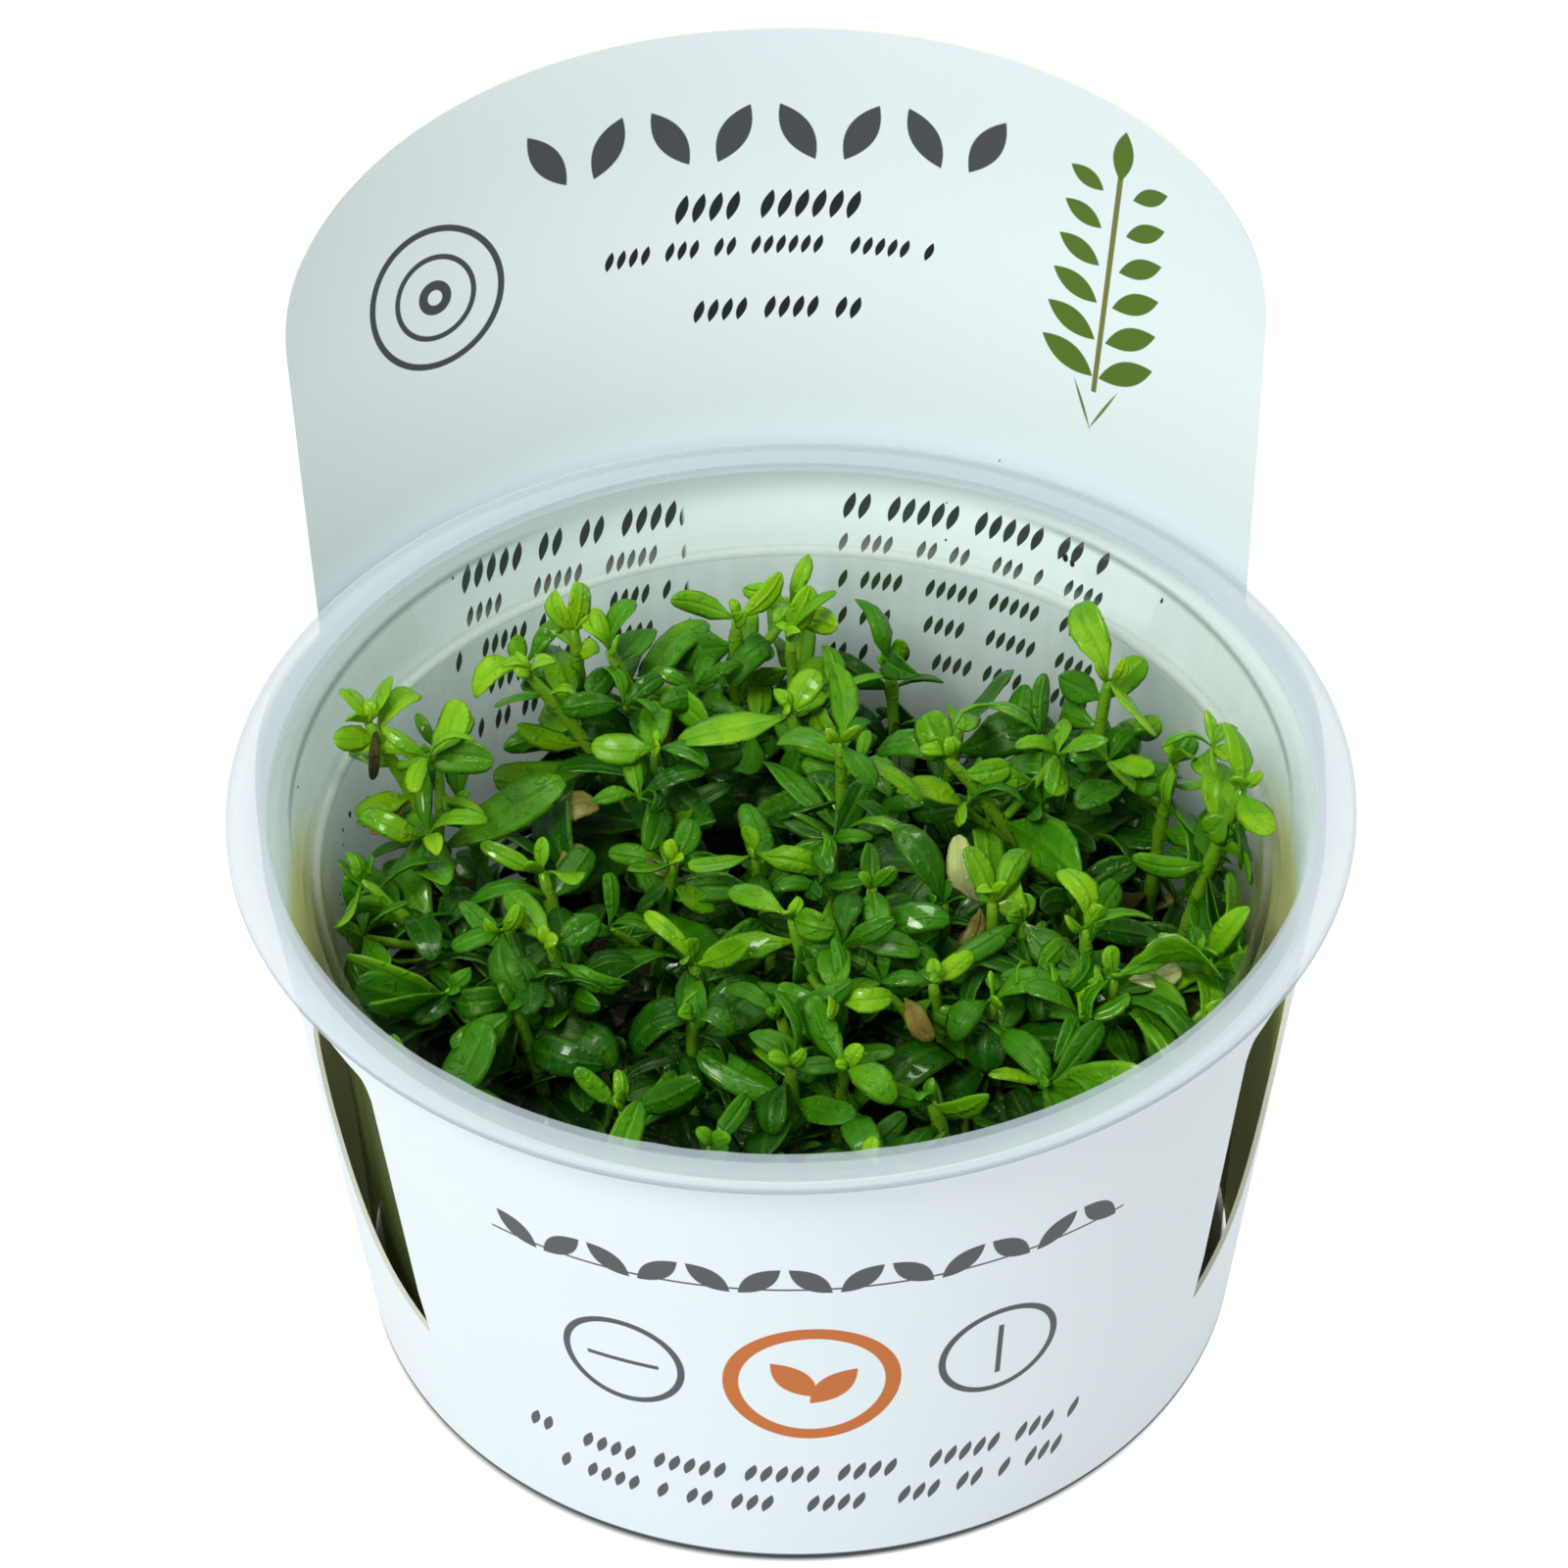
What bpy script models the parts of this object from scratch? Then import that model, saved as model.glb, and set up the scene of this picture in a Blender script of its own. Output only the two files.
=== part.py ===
# Potted rotala: a clear cup of nutrient gel and young stems, in a card sleeve with a tall back tab.
# Metres, +Z up, origin at the centre of the cup's flat base, the sleeve's front towards -Y.

import math
import random

import bmesh
import bpy
from mathutils import Matrix, Vector
from mathutils.bvhtree import BVHTree
from mathutils.kdtree import KDTree

MM = 0.001
GAP = 0.3 * MM

# Cup: a thin moulded tub with a stacking step and a broad flange
RIM_RADIUS = 50.0 * MM
RIM_HEIGHT = 57.4 * MM
FLANGE_THICKNESS = 1.0 * MM
FLANGE_INNER_RADIUS = 46.2 * MM
LIP_RADIUS = 44.5 * MM
STEP_HEIGHT = 49.7 * MM
STEP_RADIUS = 42.1 * MM
STEP_WIDTH = 0.7 * MM
BASE_RADIUS = 40.2 * MM
BASE_CORNER = 3.0 * MM
CUP_WALL = 0.8 * MM
RIM_EDGE = 0.3 * MM
RIM_SKIRT = 1.2 * MM
CUP_SIDES = 48

# Nutrient gel in the bottom of the cup
GEL_HEIGHT = 14.0 * MM
GEL_SIDES = 40

# Card sleeve: a flared ring, open crescent windows at both sides, and the tall tab at the back
SLEEVE_FOOT_RADIUS = 41.0 * MM
SLEEVE_FOOT = 1.0 * MM
SLEEVE_TOP = 54.5 * MM
SLEEVE_THICKNESS = 0.45 * MM
SLEEVE_OFFSET = 0.2 * MM
FRONT_FLARE = 0.113
BACK_FLARE = 0.176
FLARE_TURNS = (math.radians(84), math.radians(117))
SLEEVE_SIDES = 72
TAB_TOP = 98.6 * MM
TAB_SHOULDER = 81.4 * MM
TAB_HALF_WIDTH = 51.2 * MM
TAB_ROUNDNESS = 2.35
TAB_STEPS = 12
WINDOW_BEARING = 62.5
FRONT_TWIST = 0.9
WINDOW_TIP = (53.5, 15.5)
WINDOW_EDGE = ((54.2, 21), (54.4, 46.5), (55.2, 48.3), (57.0, 48.8), (64.5, 48.8), (67.0, 47.5), (69.3, 43),
               (70.8, 37), (71.0, 32), (69.8, 27), (67.5, 23), (63.5, 19.3), (58.5, 17))

# Cutters for the sleeve: how far they stand off the axis and how far they reach to each side of that
TRIM_HALF_WIDTH = 80.0 * MM
TRIM_RISE = 20.0 * MM
TAB_CUT_STANDOFF = 45.0 * MM
TAB_CUT_REACH = 50.0 * MM
FRONT_CUT_STANDOFF = 35.0 * MM
FRONT_CUT_REACH = 45.0 * MM
WINDOW_CUT_STANDOFF = 46.0 * MM
WINDOW_CUT_REACH = 9.0 * MM

# Young stems
STEM_FOOT_RADIUS = 0.75 * MM
STEM_TOP_RADIUS = 0.55 * MM
NODE_SWELL = 0.4 * MM
LEAF_THICKNESS = 0.5 * MM
LEAF_ARCH = 0.10
# A blade's sections past its root: share of the length, of the width and of the thickness to each side
LEAF_SECTIONS = ((0.56, 0.5, 0.5), (1.0, 0.27, 0.25))
# Lengths tried for a leaf until it has room, and the turns in degrees tried at each
LEAF_SHARES = (1.0, 0.88, 0.76, 0.64)
LEAF_TURNS = (0, 12, -12, 24, -24)
STEM_SPACING = 2.3 * MM
GROWTH_SEED = 33
SHOOT_COUNT = 57
CANOPY_HEIGHT = 39.0 * MM
CANOPY_RADIUS = 38.0 * MM
CANOPY_SPOTS = 160
CROWN_MARGIN = 2.2 * MM
TIP_MARGIN = 0.9 * MM
BLADE_MARGIN = 0.8 * MM
FOOT_TRIALS = 90
PATH_STEPS = 24
GOLDEN_ANGLE = math.pi * (3 - math.sqrt(5))

# Where the sight lines of the reference view start: distance, elevation, bearing, roll and focal length
VIEW_DISTANCE = 450.0 * MM
VIEW_ELEVATION = math.radians(41.03)
VIEW_BEARING = math.radians(-1.2)
VIEW_ROLL = math.radians(-1.04)
VIEW_FOCAL = 5190.0
VIEW_CENTRE = (806.5, 797.0)


def sight_frame():
    """Eye point with the forward, right and up directions of the reference view."""
    turn = Matrix.Rotation(VIEW_BEARING, 3, 'Z')
    back = turn @ Vector((0, -math.cos(VIEW_ELEVATION), math.sin(VIEW_ELEVATION)))
    eye = Vector((0, 0, RIM_HEIGHT)) + back * VIEW_DISTANCE
    forward = -back
    right = forward.cross(Vector((0, 0, 1))).normalized()
    up = right.cross(forward)
    rolled_right = right * math.cos(VIEW_ROLL) + up * math.sin(VIEW_ROLL)
    rolled_up = up * math.cos(VIEW_ROLL) - right * math.sin(VIEW_ROLL)
    return eye, forward, rolled_right, rolled_up


EYE, FORWARD, RIGHT, UP = sight_frame()


def seen_at(across, down, height):
    """Point at this height, in metres, on the sight line of a picture point."""
    aside, below = (across - VIEW_CENTRE[0]) / VIEW_FOCAL, (down - VIEW_CENTRE[1]) / VIEW_FOCAL
    ray = FORWARD + RIGHT * aside - UP * below
    return EYE + ray * ((height - EYE.z) / ray.z)


def wall_radius(height):
    """Inner radius of the cup's wall at a height."""
    if height > STEP_HEIGHT:
        rise = (height - STEP_HEIGHT) / (RIM_HEIGHT - STEP_HEIGHT)
        return STEP_RADIUS + STEP_WIDTH + (LIP_RADIUS - STEP_RADIUS - STEP_WIDTH) * min(rise, 1.0)
    lean = (STEP_RADIUS - BASE_RADIUS + CUP_WALL) / (STEP_HEIGHT - BASE_CORNER)
    return BASE_RADIUS - CUP_WALL + lean * max(height - BASE_CORNER, 0)


def inside_cup(point, margin):
    """The point, drawn in until it stands this far off the wall."""
    room = wall_radius(point.z) - margin
    flat = Vector((point.x, point.y, 0))
    if flat.length > room:
        flat *= room / flat.length
    return Vector((flat.x, flat.y, point.z))


# Shoots that stand out: the crown's picture point and height in mm, how far the foot stands off below it
# in mm, and at each node, top one first, its drop in mm and its leaves' tips as picture point, rise, width.
LEADING_SHOOTS = (
    ((376, 738, 55), (10, 1), ((0, ((346, 704, 2.5, 2.4), (399, 690, 2.5, 2.4))),
                               (2.2, ((318, 750, 1.0, 2.6), (424, 706, 1.5, 3.0))))),
    ((586, 642, 50), (1, 0), ((0, ((592, 594, 3.0, 2.6), (566, 602, 2.5, 2.2))),
                              (3, ((543, 646, 0, 3.2), (612, 664, 0.5, 2.6))),
                              (7, ((584, 738, -4.5, 3.3),)))),
    ((622, 664, 49), (8, 0), ((0, ((646, 612, 3.0, 2.8), (606, 620, 3.0, 2.0))),
                              (2.0, ((665, 642, 0.5, 3.2),)))),
    ((752, 632, 49), (-1, 0), ((0, ((797, 584, 3.0, 2.2), (684, 612, 1.5, 2.4))),
                               (3.5, ((683, 670, -3.0, 4.0), (790, 664, -1, 3.0))))),
    ((806, 654, 47), (1, 2), ((0, ((826, 597, 4.0, 3.0), (853, 603, 3.5, 2.2))),
                              (4, ((757, 718, -4, 3.4), (860, 690, -2, 3.0))))),
    ((806, 730, 47), (5, 3), ((0, ((692, 758, -1, 4.2), (834, 684, 2.5, 3.2))),
                              (4, ((800, 800, -4, 3.4),)))),
    ((668, 764, 46), (0, 6), ((0, ((603, 763, 0.5, 3.6), (723, 784, -1.0, 2.6))),
                              (2.5, ((671, 716, 1.5, 3.2), (726, 845, -4, 3.2))))),
    ((858, 757, 52), (0, 0), ((0, ((849, 675, 3.0, 3.6), (893, 806, -2.5, 3.8))),
                              (2.5, ((793, 758, 0.5, 3.2), (941, 818, -3, 2.2))),
                              (7.5, ((790, 830, -2, 3.0), (914, 858, -3, 2.0))))),
    ((966, 773, 48), (14, 1), ((0, ((945, 728, 2.5, 4.0), (1018, 720, 3.0, 1.9))),
                               (2.5, ((896, 766, 0.5, 3.0), (1031, 783, 0, 2.4))),
                               (6.5, ((1050, 802, 0.5, 2.0), (930, 830, -3, 3.0))))),
    ((1131, 694, 51), (-3, -2), ((0, ((1104, 614, 3.0, 3.6), (1180, 752, -3.0, 3.6))),
                                 (2.5, ((1080, 690, 0, 3.6), (1168, 672, 2.0, 3.0))),
                                 (6, ((1088, 728, -2, 3.2), (1160, 772, -3, 3.0))))),
    ((1198, 780, 47), (-2, 3), ((0, ((1216, 750, 2, 2.4), (1190, 822, -2, 2.6))),
                                (3, ((1240, 800, 0, 2.6), (1160, 800, -1, 2.8))))),
    ((1152, 754, 43), (-3, 4), ((0, ((1102, 788, -1, 2.6), (1190, 734, 2, 2.6))),
                                (4, ((1120, 730, 0, 3.0),)))),
    ((1268, 806, 53), (-7, 2), ((0, ((1249, 737, 3.5, 3.4), (1312, 852, 0, 3.4))),
                                (3.5, ((1230, 850, -2, 3.0),)))),
    ((540, 690, 49), (14, 0), ((0, ((512, 680, 1.5, 2.4), (568, 676, 2, 2.2))),
                               (3, ((505, 720, -1, 2.8), (590, 712, 0, 2.4))))),
    ((368, 899, 44), (17, -3), ((0, ((343, 886, 1, 2.0), (380, 872, 2, 2.0))),
                                (1.8, ((455, 880, 2.5, 2.2),)))),
    ((460, 1012, 41), (-7, 6), ((0, ((516, 1023, 0, 3.0), (424, 1044, 0, 2.2))),
                                (3, ((470, 1062, -3, 2.6),)))),
    ((513, 950, 44), (1, 0), ((0, ((540, 1026, -3, 3.6), (461, 968, 0, 3.0))),
                              (3.5, ((470, 920, 1, 2.4),)))),
    ((562, 966, 43), (3, 3), ((0, ((612, 938, 1, 2.9), (517, 910, 2, 3.0))),
                              (2.5, ((642, 1002, -1, 2.4), (560, 1050, -4, 2.8))))),
    ((526, 1030, 41), (3, 4), ((0, ((461, 1070, 0, 3.4), (566, 1026, 0.5, 2.8))),
                               (2.5, ((509, 1090, -3, 2.0),)))),
    ((808, 938, 45), (4, -3), ((0, ((742, 908, 0, 2.8), (853, 948, 0.5, 3.1))),
                               (2.5, ((716, 980, -2, 3.0), (818, 1004, -3.5, 2.8))))),
    ((890, 905, 46), (-1, 0), ((0, ((886, 860, 2.0, 2.4), (896, 944, -2, 2.6))),
                               (3, ((872, 999, -3.5, 3.4), (934, 920, 0, 2.4))))),
    ((770, 872, 44), (2, 4), ((0, ((702, 885, 0, 2.8), (842, 888, -1, 2.8))),
                              (3, ((760, 820, 1, 3.0),)))),
    ((806, 1088, 42), (1, 4), ((0, ((790, 1010, 4.5, 2.3), (858, 1092, 0, 1.8))),
                               (2.5, ((786, 1158, -2, 3.6),)))),
    ((862, 1090, 41), (-1, 5), ((0, ((914, 1124, -0.5, 3.2), (828, 1016, 4, 2.6))),
                                (4, ((850, 1150, -3, 3.0),)))),
    ((706, 1040, 41), (0, 3), ((0, ((748, 1056, 0, 3.0), (664, 1046, 0.5, 3.0))),
                               (2.5, ((744, 1102, -2, 3.4), (700, 990, 1, 2.8))))),
    ((1042, 940, 44), (2, 2), ((0, ((1104, 994, -2, 3.6), (974, 981, -1, 2.4))),
                               (1.6, ((1038, 890, 4, 3.2),)))),
    ((1106, 948, 46), (2, 0), ((0, ((1084, 887, 3, 3.3), (1177, 938, 0.5, 3.2))),
                               (3, ((1140, 900, 1, 2.8),)))),
    ((1136, 998, 44), (0, 2), ((0, ((1202, 970, 1, 2.3), (1112, 1050, -3, 3.0))),
                               (2.5, ((1198, 1006, -1, 2.2), (1090, 990, 0, 2.4))))),
    ((1012, 1022, 42), (1, 4), ((0, ((1087, 1011, 0.5, 2.8), (970, 1060, -1.5, 2.8))),
                                (2.5, ((1006, 1094, -3, 3.8),)))),
    ((1012, 922, 46), (1, 0), ((0, ((986, 864, 3.5, 2.8), (1050, 868, 2, 2.6))),
                               (4.5, ((960, 940, -1, 2.4),)))),
    ((952, 1003, 42), (2, 3), ((0, ((899, 1003, 0, 2.5), (992, 972, 1.5, 2.4))),
                               (2.5, ((922, 1050, -2, 2.6),)))),
    ((688, 880, 43), (-3, 3), ((0, ((640, 888, 0.5, 2.6), (706, 836, 2, 2.6))),
                               (3, ((650, 930, -2, 2.8), (730, 930, -3, 2.6))))),
)

# The rest of the stand is grown by rule: leaf pairs set crosswise, each node's drop, leaf length and rise
NODE_DROPS = (0.0, 3.2, 7.2)
NODE_LEAVES = ((5.2, 3.2, 2.7), (6.6, 1.0, 3.1), (6.4, -1.0, 3.2))


def leading_shoot(entry):
    """A shoot whose crown and leaf tips are set by sight lines."""
    crown_mark, foot_offset, nodes = entry
    crown = inside_cup(seen_at(crown_mark[0], crown_mark[1], crown_mark[2] * MM), CROWN_MARGIN)
    foot = Vector((crown.x + foot_offset[0] * MM, crown.y + foot_offset[1] * MM, GEL_HEIGHT + GAP))
    grown = []
    for drop, tips in nodes:
        leaves = []
        for across, down, rise, width in tips:
            height = crown.z + (rise - drop) * MM
            leaves.append((inside_cup(seen_at(across, down, height), TIP_MARGIN), width * MM))
        grown.append((drop * MM, leaves))
    return {"crown": crown, "foot": inside_cup(foot, CROWN_MARGIN), "nodes": grown}


def filling_shoot(crown, rng):
    """A shoot grown by rule at a free place in the stand."""
    lean = rng.uniform(0, math.tau)
    reach = rng.uniform(1.0, 5.0) * MM
    foot = Vector((crown.x + reach * math.cos(lean), crown.y + reach * math.sin(lean), GEL_HEIGHT + GAP))
    bearing = rng.uniform(0, math.pi)
    grown = []
    for level, drop in enumerate(NODE_DROPS):
        length, rise, width = NODE_LEAVES[level]
        leaves = []
        for side in (0, math.pi):
            angle = bearing + level * math.pi / 2 + side + rng.uniform(-0.25, 0.25)
            span = length * rng.uniform(0.85, 1.15) * MM
            lift = (rise - drop + rng.uniform(-1.0, 1.0)) * MM
            tip = Vector((crown.x + span * math.cos(angle), crown.y + span * math.sin(angle), crown.z + lift))
            leaves.append((inside_cup(tip, TIP_MARGIN), width * rng.uniform(0.9, 1.1) * MM))
        grown.append((drop * MM, leaves))
    return {"crown": crown, "foot": inside_cup(foot, CROWN_MARGIN), "nodes": grown}


def stem_point(shoot, along):
    """Point on the stem: upright where it leaves the gel, then leaning to its crown."""
    foot, crown = shoot["foot"], shoot["crown"]
    bend = foot.lerp(crown, 0.25)
    bend.z = foot.z * 0.45 + crown.z * 0.55
    return foot * (1 - along) ** 2 + bend * 2 * along * (1 - along) + crown * along ** 2


def stem_samples(shoot):
    return [stem_point(shoot, step / PATH_STEPS) for step in range(PATH_STEPS + 1)]


def stems_apart(path, standing):
    """Whether a stem keeps its spacing to all that stand already."""
    return all(standing.find(point)[2] >= STEM_SPACING for point in path)


def stand_of_shoots():
    """All shoots, each foot moved to the nearest place where its stem is free."""
    rng = random.Random(GROWTH_SEED)
    shoots = [leading_shoot(entry) for entry in LEADING_SHOOTS]
    crowns = [shoot["crown"].copy() for shoot in shoots]
    while len(shoots) < SHOOT_COUNT:
        best, best_room = None, -1.0
        for number in range(CANOPY_SPOTS):
            radius = CANOPY_RADIUS * math.sqrt((number + 0.5) / CANOPY_SPOTS)
            angle = number * GOLDEN_ANGLE
            spot = Vector((radius * math.cos(angle), radius * math.sin(angle), 0))
            room = min(math.hypot(spot.x - other.x, spot.y - other.y) for other in crowns)
            if room > best_room:
                best, best_room = spot, room
        best.z = CANOPY_HEIGHT + rng.uniform(-2.5, 2.5) * MM
        crowns.append(best)
        shoots.append(filling_shoot(best, rng))
    standing = KDTree(SHOOT_COUNT * (PATH_STEPS + 1))
    for number, shoot in enumerate(shoots):
        home = shoot["foot"].copy()
        for trial in range(FOOT_TRIALS):
            if number == 0 or stems_apart(stem_samples(shoot), standing):
                break
            reach = (0.6 + 0.2 * trial) * MM
            angle = trial * GOLDEN_ANGLE
            moved = home + Vector((reach * math.cos(angle), reach * math.sin(angle), 0))
            shoot["foot"] = inside_cup(moved, CROWN_MARGIN)
        for step, point in enumerate(stem_samples(shoot)):
            standing.insert(point, number * (PATH_STEPS + 1) + step)
        standing.balance()
    return shoots


def new_material(name, colour, roughness, alpha=1.0):
    material = bpy.data.materials.new(name)
    material.use_nodes = True
    shader = material.node_tree.nodes["Principled BSDF"]
    shader.inputs["Base Color"].default_value = (*colour, 1.0)
    shader.inputs["Roughness"].default_value = roughness
    shader.inputs["Metallic"].default_value = 0.0
    shader.inputs["Alpha"].default_value = alpha
    material.diffuse_color = (*colour, alpha)
    return material


def new_object(name, mesh, collection, material=None):
    item = bpy.data.objects.new(name, mesh)
    collection.objects.link(item)
    if material:
        mesh.materials.append(material)
    return item


def mesh_from(shape, name):
    mesh = bpy.data.meshes.new(name)
    shape.to_mesh(mesh)
    shape.free()
    return mesh


def turned(name, profile, sides, collection, material):
    """Closed body turned about Z from a profile that starts and ends on the axis."""
    shape = bmesh.new()
    verts = [shape.verts.new((radius, 0, height)) for radius, height in profile]
    for first, second in zip(verts, verts[1:]):
        shape.edges.new((first, second))
    item = new_object(name, mesh_from(shape, name), collection, material)
    screw = item.modifiers.new("turn", 'SCREW')
    screw.axis = 'Z'
    screw.angle = math.tau
    screw.steps = sides
    screw.render_steps = sides
    screw.use_merge_vertices = True
    screw.merge_threshold = 0.00001
    return item


def cup_profile():
    """Up the inside from the floor's centre, over the flange and down the outside."""
    inner_foot = BASE_RADIUS - CUP_WALL
    inside = [(0, CUP_WALL), (inner_foot - BASE_CORNER * 0.8, CUP_WALL),
              (inner_foot - 0.6 * MM, 2 * CUP_WALL), (inner_foot, BASE_CORNER),
              (STEP_RADIUS, STEP_HEIGHT), (STEP_RADIUS + STEP_WIDTH, STEP_HEIGHT),
              (LIP_RADIUS, RIM_HEIGHT - 0.4 * MM), (LIP_RADIUS + 0.35 * MM, RIM_HEIGHT)]
    flange = [(FLANGE_INNER_RADIUS, RIM_HEIGHT), (RIM_RADIUS - RIM_EDGE, RIM_HEIGHT),
              (RIM_RADIUS, RIM_HEIGHT - RIM_EDGE), (RIM_RADIUS, RIM_HEIGHT - RIM_SKIRT),
              (RIM_RADIUS - CUP_WALL, RIM_HEIGHT - RIM_SKIRT),
              (LIP_RADIUS + CUP_WALL, RIM_HEIGHT - FLANGE_THICKNESS)]
    outside = [(STEP_RADIUS + STEP_WIDTH + CUP_WALL, STEP_HEIGHT - RIM_EDGE),
               (STEP_RADIUS + CUP_WALL, STEP_HEIGHT - CUP_WALL), (BASE_RADIUS, BASE_CORNER),
               (BASE_RADIUS - 0.9 * MM, 0.8 * MM), (BASE_RADIUS - BASE_CORNER, 0), (0, 0)]
    return inside + flange + outside


def smooth_step(low, high, value):
    share = min(max((value - low) / (high - low), 0.0), 1.0)
    return share * share * (3 - 2 * share)


def sleeve_radius(bearing, height):
    """Outer radius of the card: the bearing is measured from the front, and the back flares more."""
    flare = FRONT_FLARE + (BACK_FLARE - FRONT_FLARE) * smooth_step(*FLARE_TURNS, abs(bearing))
    return SLEEVE_FOOT_RADIUS + flare * height


def outline_prism(name, points, reach, placement, collection):
    """Closed prism on a flat outline, extruded both ways and turned into a mesh."""
    curve = bpy.data.curves.new(name, 'CURVE')
    curve.dimensions = '2D'
    curve.fill_mode = 'BOTH'
    curve.extrude = reach
    line = curve.splines.new('POLY')
    line.points.add(len(points) - 1)
    for point, (across, height) in zip(line.points, points):
        point.co = (across, height, 0, 1)
    line.use_cyclic_u = True
    drawn = bpy.data.objects.new(name + "_outline", curve)
    collection.objects.link(drawn)
    drawn.matrix_world = placement
    bpy.context.view_layer.update()
    evaluated = drawn.evaluated_get(bpy.context.evaluated_depsgraph_get())
    mesh = bpy.data.meshes.new_from_object(evaluated)
    shape = bmesh.new()
    shape.from_mesh(mesh)
    bmesh.ops.remove_doubles(shape, verts=shape.verts, dist=0.000001)
    bmesh.ops.recalc_face_normals(shape, faces=shape.faces)
    shape.to_mesh(mesh)
    shape.free()
    prism = new_object(name, mesh, collection)
    prism.matrix_world = placement
    bpy.data.objects.remove(drawn)
    prism.hide_render = True
    prism.display_type = 'WIRE'
    return prism


def tab_edge():
    """Half of the tab's outline as seen square from behind, from the sleeve's top edge to the crest."""
    points = []
    for height in (SLEEVE_TOP, RIM_HEIGHT, 0.5 * (RIM_HEIGHT + TAB_SHOULDER)):
        points.append((TAB_HALF_WIDTH, height))
    power = 2 / TAB_ROUNDNESS
    for step in range(TAB_STEPS + 1):
        angle = math.radians(90) * step / TAB_STEPS
        along = TAB_HALF_WIDTH * max(math.cos(angle), 0) ** power
        points.append((along, TAB_SHOULDER + (TAB_TOP - TAB_SHOULDER) * math.sin(angle) ** power))
    flattened = []
    for along, height in points:
        radius = sleeve_radius(math.pi, height)
        flattened.append((radius * math.sin(along / radius), height))
    return flattened


def card_sleeve(collection, cutters, material):
    shape = bmesh.new()
    depth = TAB_TOP + 2 * MM - SLEEVE_FOOT
    bmesh.ops.create_cone(shape, cap_ends=False, segments=SLEEVE_SIDES, radius1=SLEEVE_FOOT_RADIUS,
                          radius2=SLEEVE_FOOT_RADIUS, depth=depth)
    for vert in shape.verts:
        vert.co.z += depth / 2 + SLEEVE_FOOT
        bearing = math.atan2(vert.co.x, -vert.co.y)
        radius = sleeve_radius(bearing, vert.co.z)
        vert.co.x = radius * math.sin(bearing) + SLEEVE_OFFSET
        vert.co.y = -radius * math.cos(bearing)
    bmesh.ops.recalc_face_normals(shape, faces=shape.faces)
    item = new_object("card_sleeve", mesh_from(shape, "card_sleeve"), collection, material)
    wall = item.modifiers.new("card", 'SOLIDIFY')
    wall.thickness = SLEEVE_THICKNESS
    wall.offset = -1

    # All that stands above the sleeve's top edge goes, apart from the tab
    half = tab_edge()
    wide, high = TRIM_HALF_WIDTH, TAB_TOP + TRIM_RISE
    above = [(wide, SLEEVE_TOP), (wide, high), (-wide, high), (-wide, SLEEVE_TOP)]
    arch = [(-across, height) for across, height in half] + list(reversed(half[:-1]))
    upright = Matrix.Rotation(math.radians(90), 4, 'X')
    behind = Matrix.Translation((SLEEVE_OFFSET, TAB_CUT_STANDOFF, 0)) @ upright
    before = Matrix.Translation((0, -FRONT_CUT_STANDOFF, 0)) @ upright
    cuts = [outline_prism("tab_cutter", above + arch, TAB_CUT_REACH, behind, cutters),
            outline_prism("front_cutter", above, FRONT_CUT_REACH, before, cutters)]

    for side in (-1, 1):
        outline = []
        for bearing, height in (WINDOW_TIP,) + WINDOW_EDGE:
            radius = sleeve_radius(math.radians(bearing), height * MM)
            outline.append((side * radius * math.sin(math.radians(bearing - WINDOW_BEARING)), height * MM))
        facing = math.radians(side * WINDOW_BEARING + FRONT_TWIST)
        outward = Vector((math.sin(facing), -math.cos(facing), 0))
        middle = outward * WINDOW_CUT_STANDOFF + Vector((SLEEVE_OFFSET, 0, 0))
        placement = Matrix.Translation(middle) @ Matrix.Rotation(facing, 4, 'Z') @ upright
        label = "right" if side > 0 else "left"
        cuts.append(outline_prism("window_cutter_" + label, outline, WINDOW_CUT_REACH, placement, cutters))
    for cutter in cuts:
        cut = item.modifiers.new(cutter.name, 'BOOLEAN')
        cut.operation = 'DIFFERENCE'
        cut.solver = 'EXACT'
        cut.object = cutter
    return item


def ring_around(centre, direction, first_side, radius):
    """Four corners around a stem, set so that a side faces first_side."""
    axis = direction.normalized()
    side = (first_side - axis * first_side.dot(axis)).normalized()
    cross = axis.cross(side)
    return [centre + (side * a + cross * b) * radius * 0.85 for a, b in ((1, -1), (1, 1), (-1, 1), (-1, -1))]


def leaf_rings(base, tip, width):
    """The blade's broad section and its end, from where it leaves the stem to its tip."""
    line = tip - base
    along = line.normalized()
    across = along.cross(Vector((0, 0, 1)))
    if across.length < 0.2:
        across = along.cross(Vector((0, 1, 0)))
    across.normalize()
    face = across.cross(along).normalized()
    arch = face * line.length * LEAF_ARCH
    rings = []
    for share, spread, thick in LEAF_SECTIONS:
        centre = base + line * share + arch * 4 * share * (1 - share)
        wide = across * width * spread
        deep = face * LEAF_THICKNESS * thick
        rings.append([centre - wide - deep, centre + wide - deep, centre + wide + deep, centre - wide + deep])
    return rings, across, face


def blade_tree(root_ring, rings, across, face):
    """Slightly swollen copy of a blade, to test whether it has room."""
    extra = GAP * 1.1
    points = list(root_ring)
    for ring in rings:
        centre = sum(ring, Vector()) / 4
        for corner in ring:
            offset = corner - centre
            grow = across * extra * (1 if offset.dot(across) > 0 else -1)
            grow += face * extra * (1 if offset.dot(face) > 0 else -1)
            points.append(corner + grow)
    sides = []
    for start in (0, 4):
        for corner in range(4):
            after = (corner + 1) % 4
            sides.append((start + corner, start + after, start + 4 + after, start + 4 + corner))
    sides.append((8, 9, 10, 11))
    return BVHTree.FromPolygons(points, sides)


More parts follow.
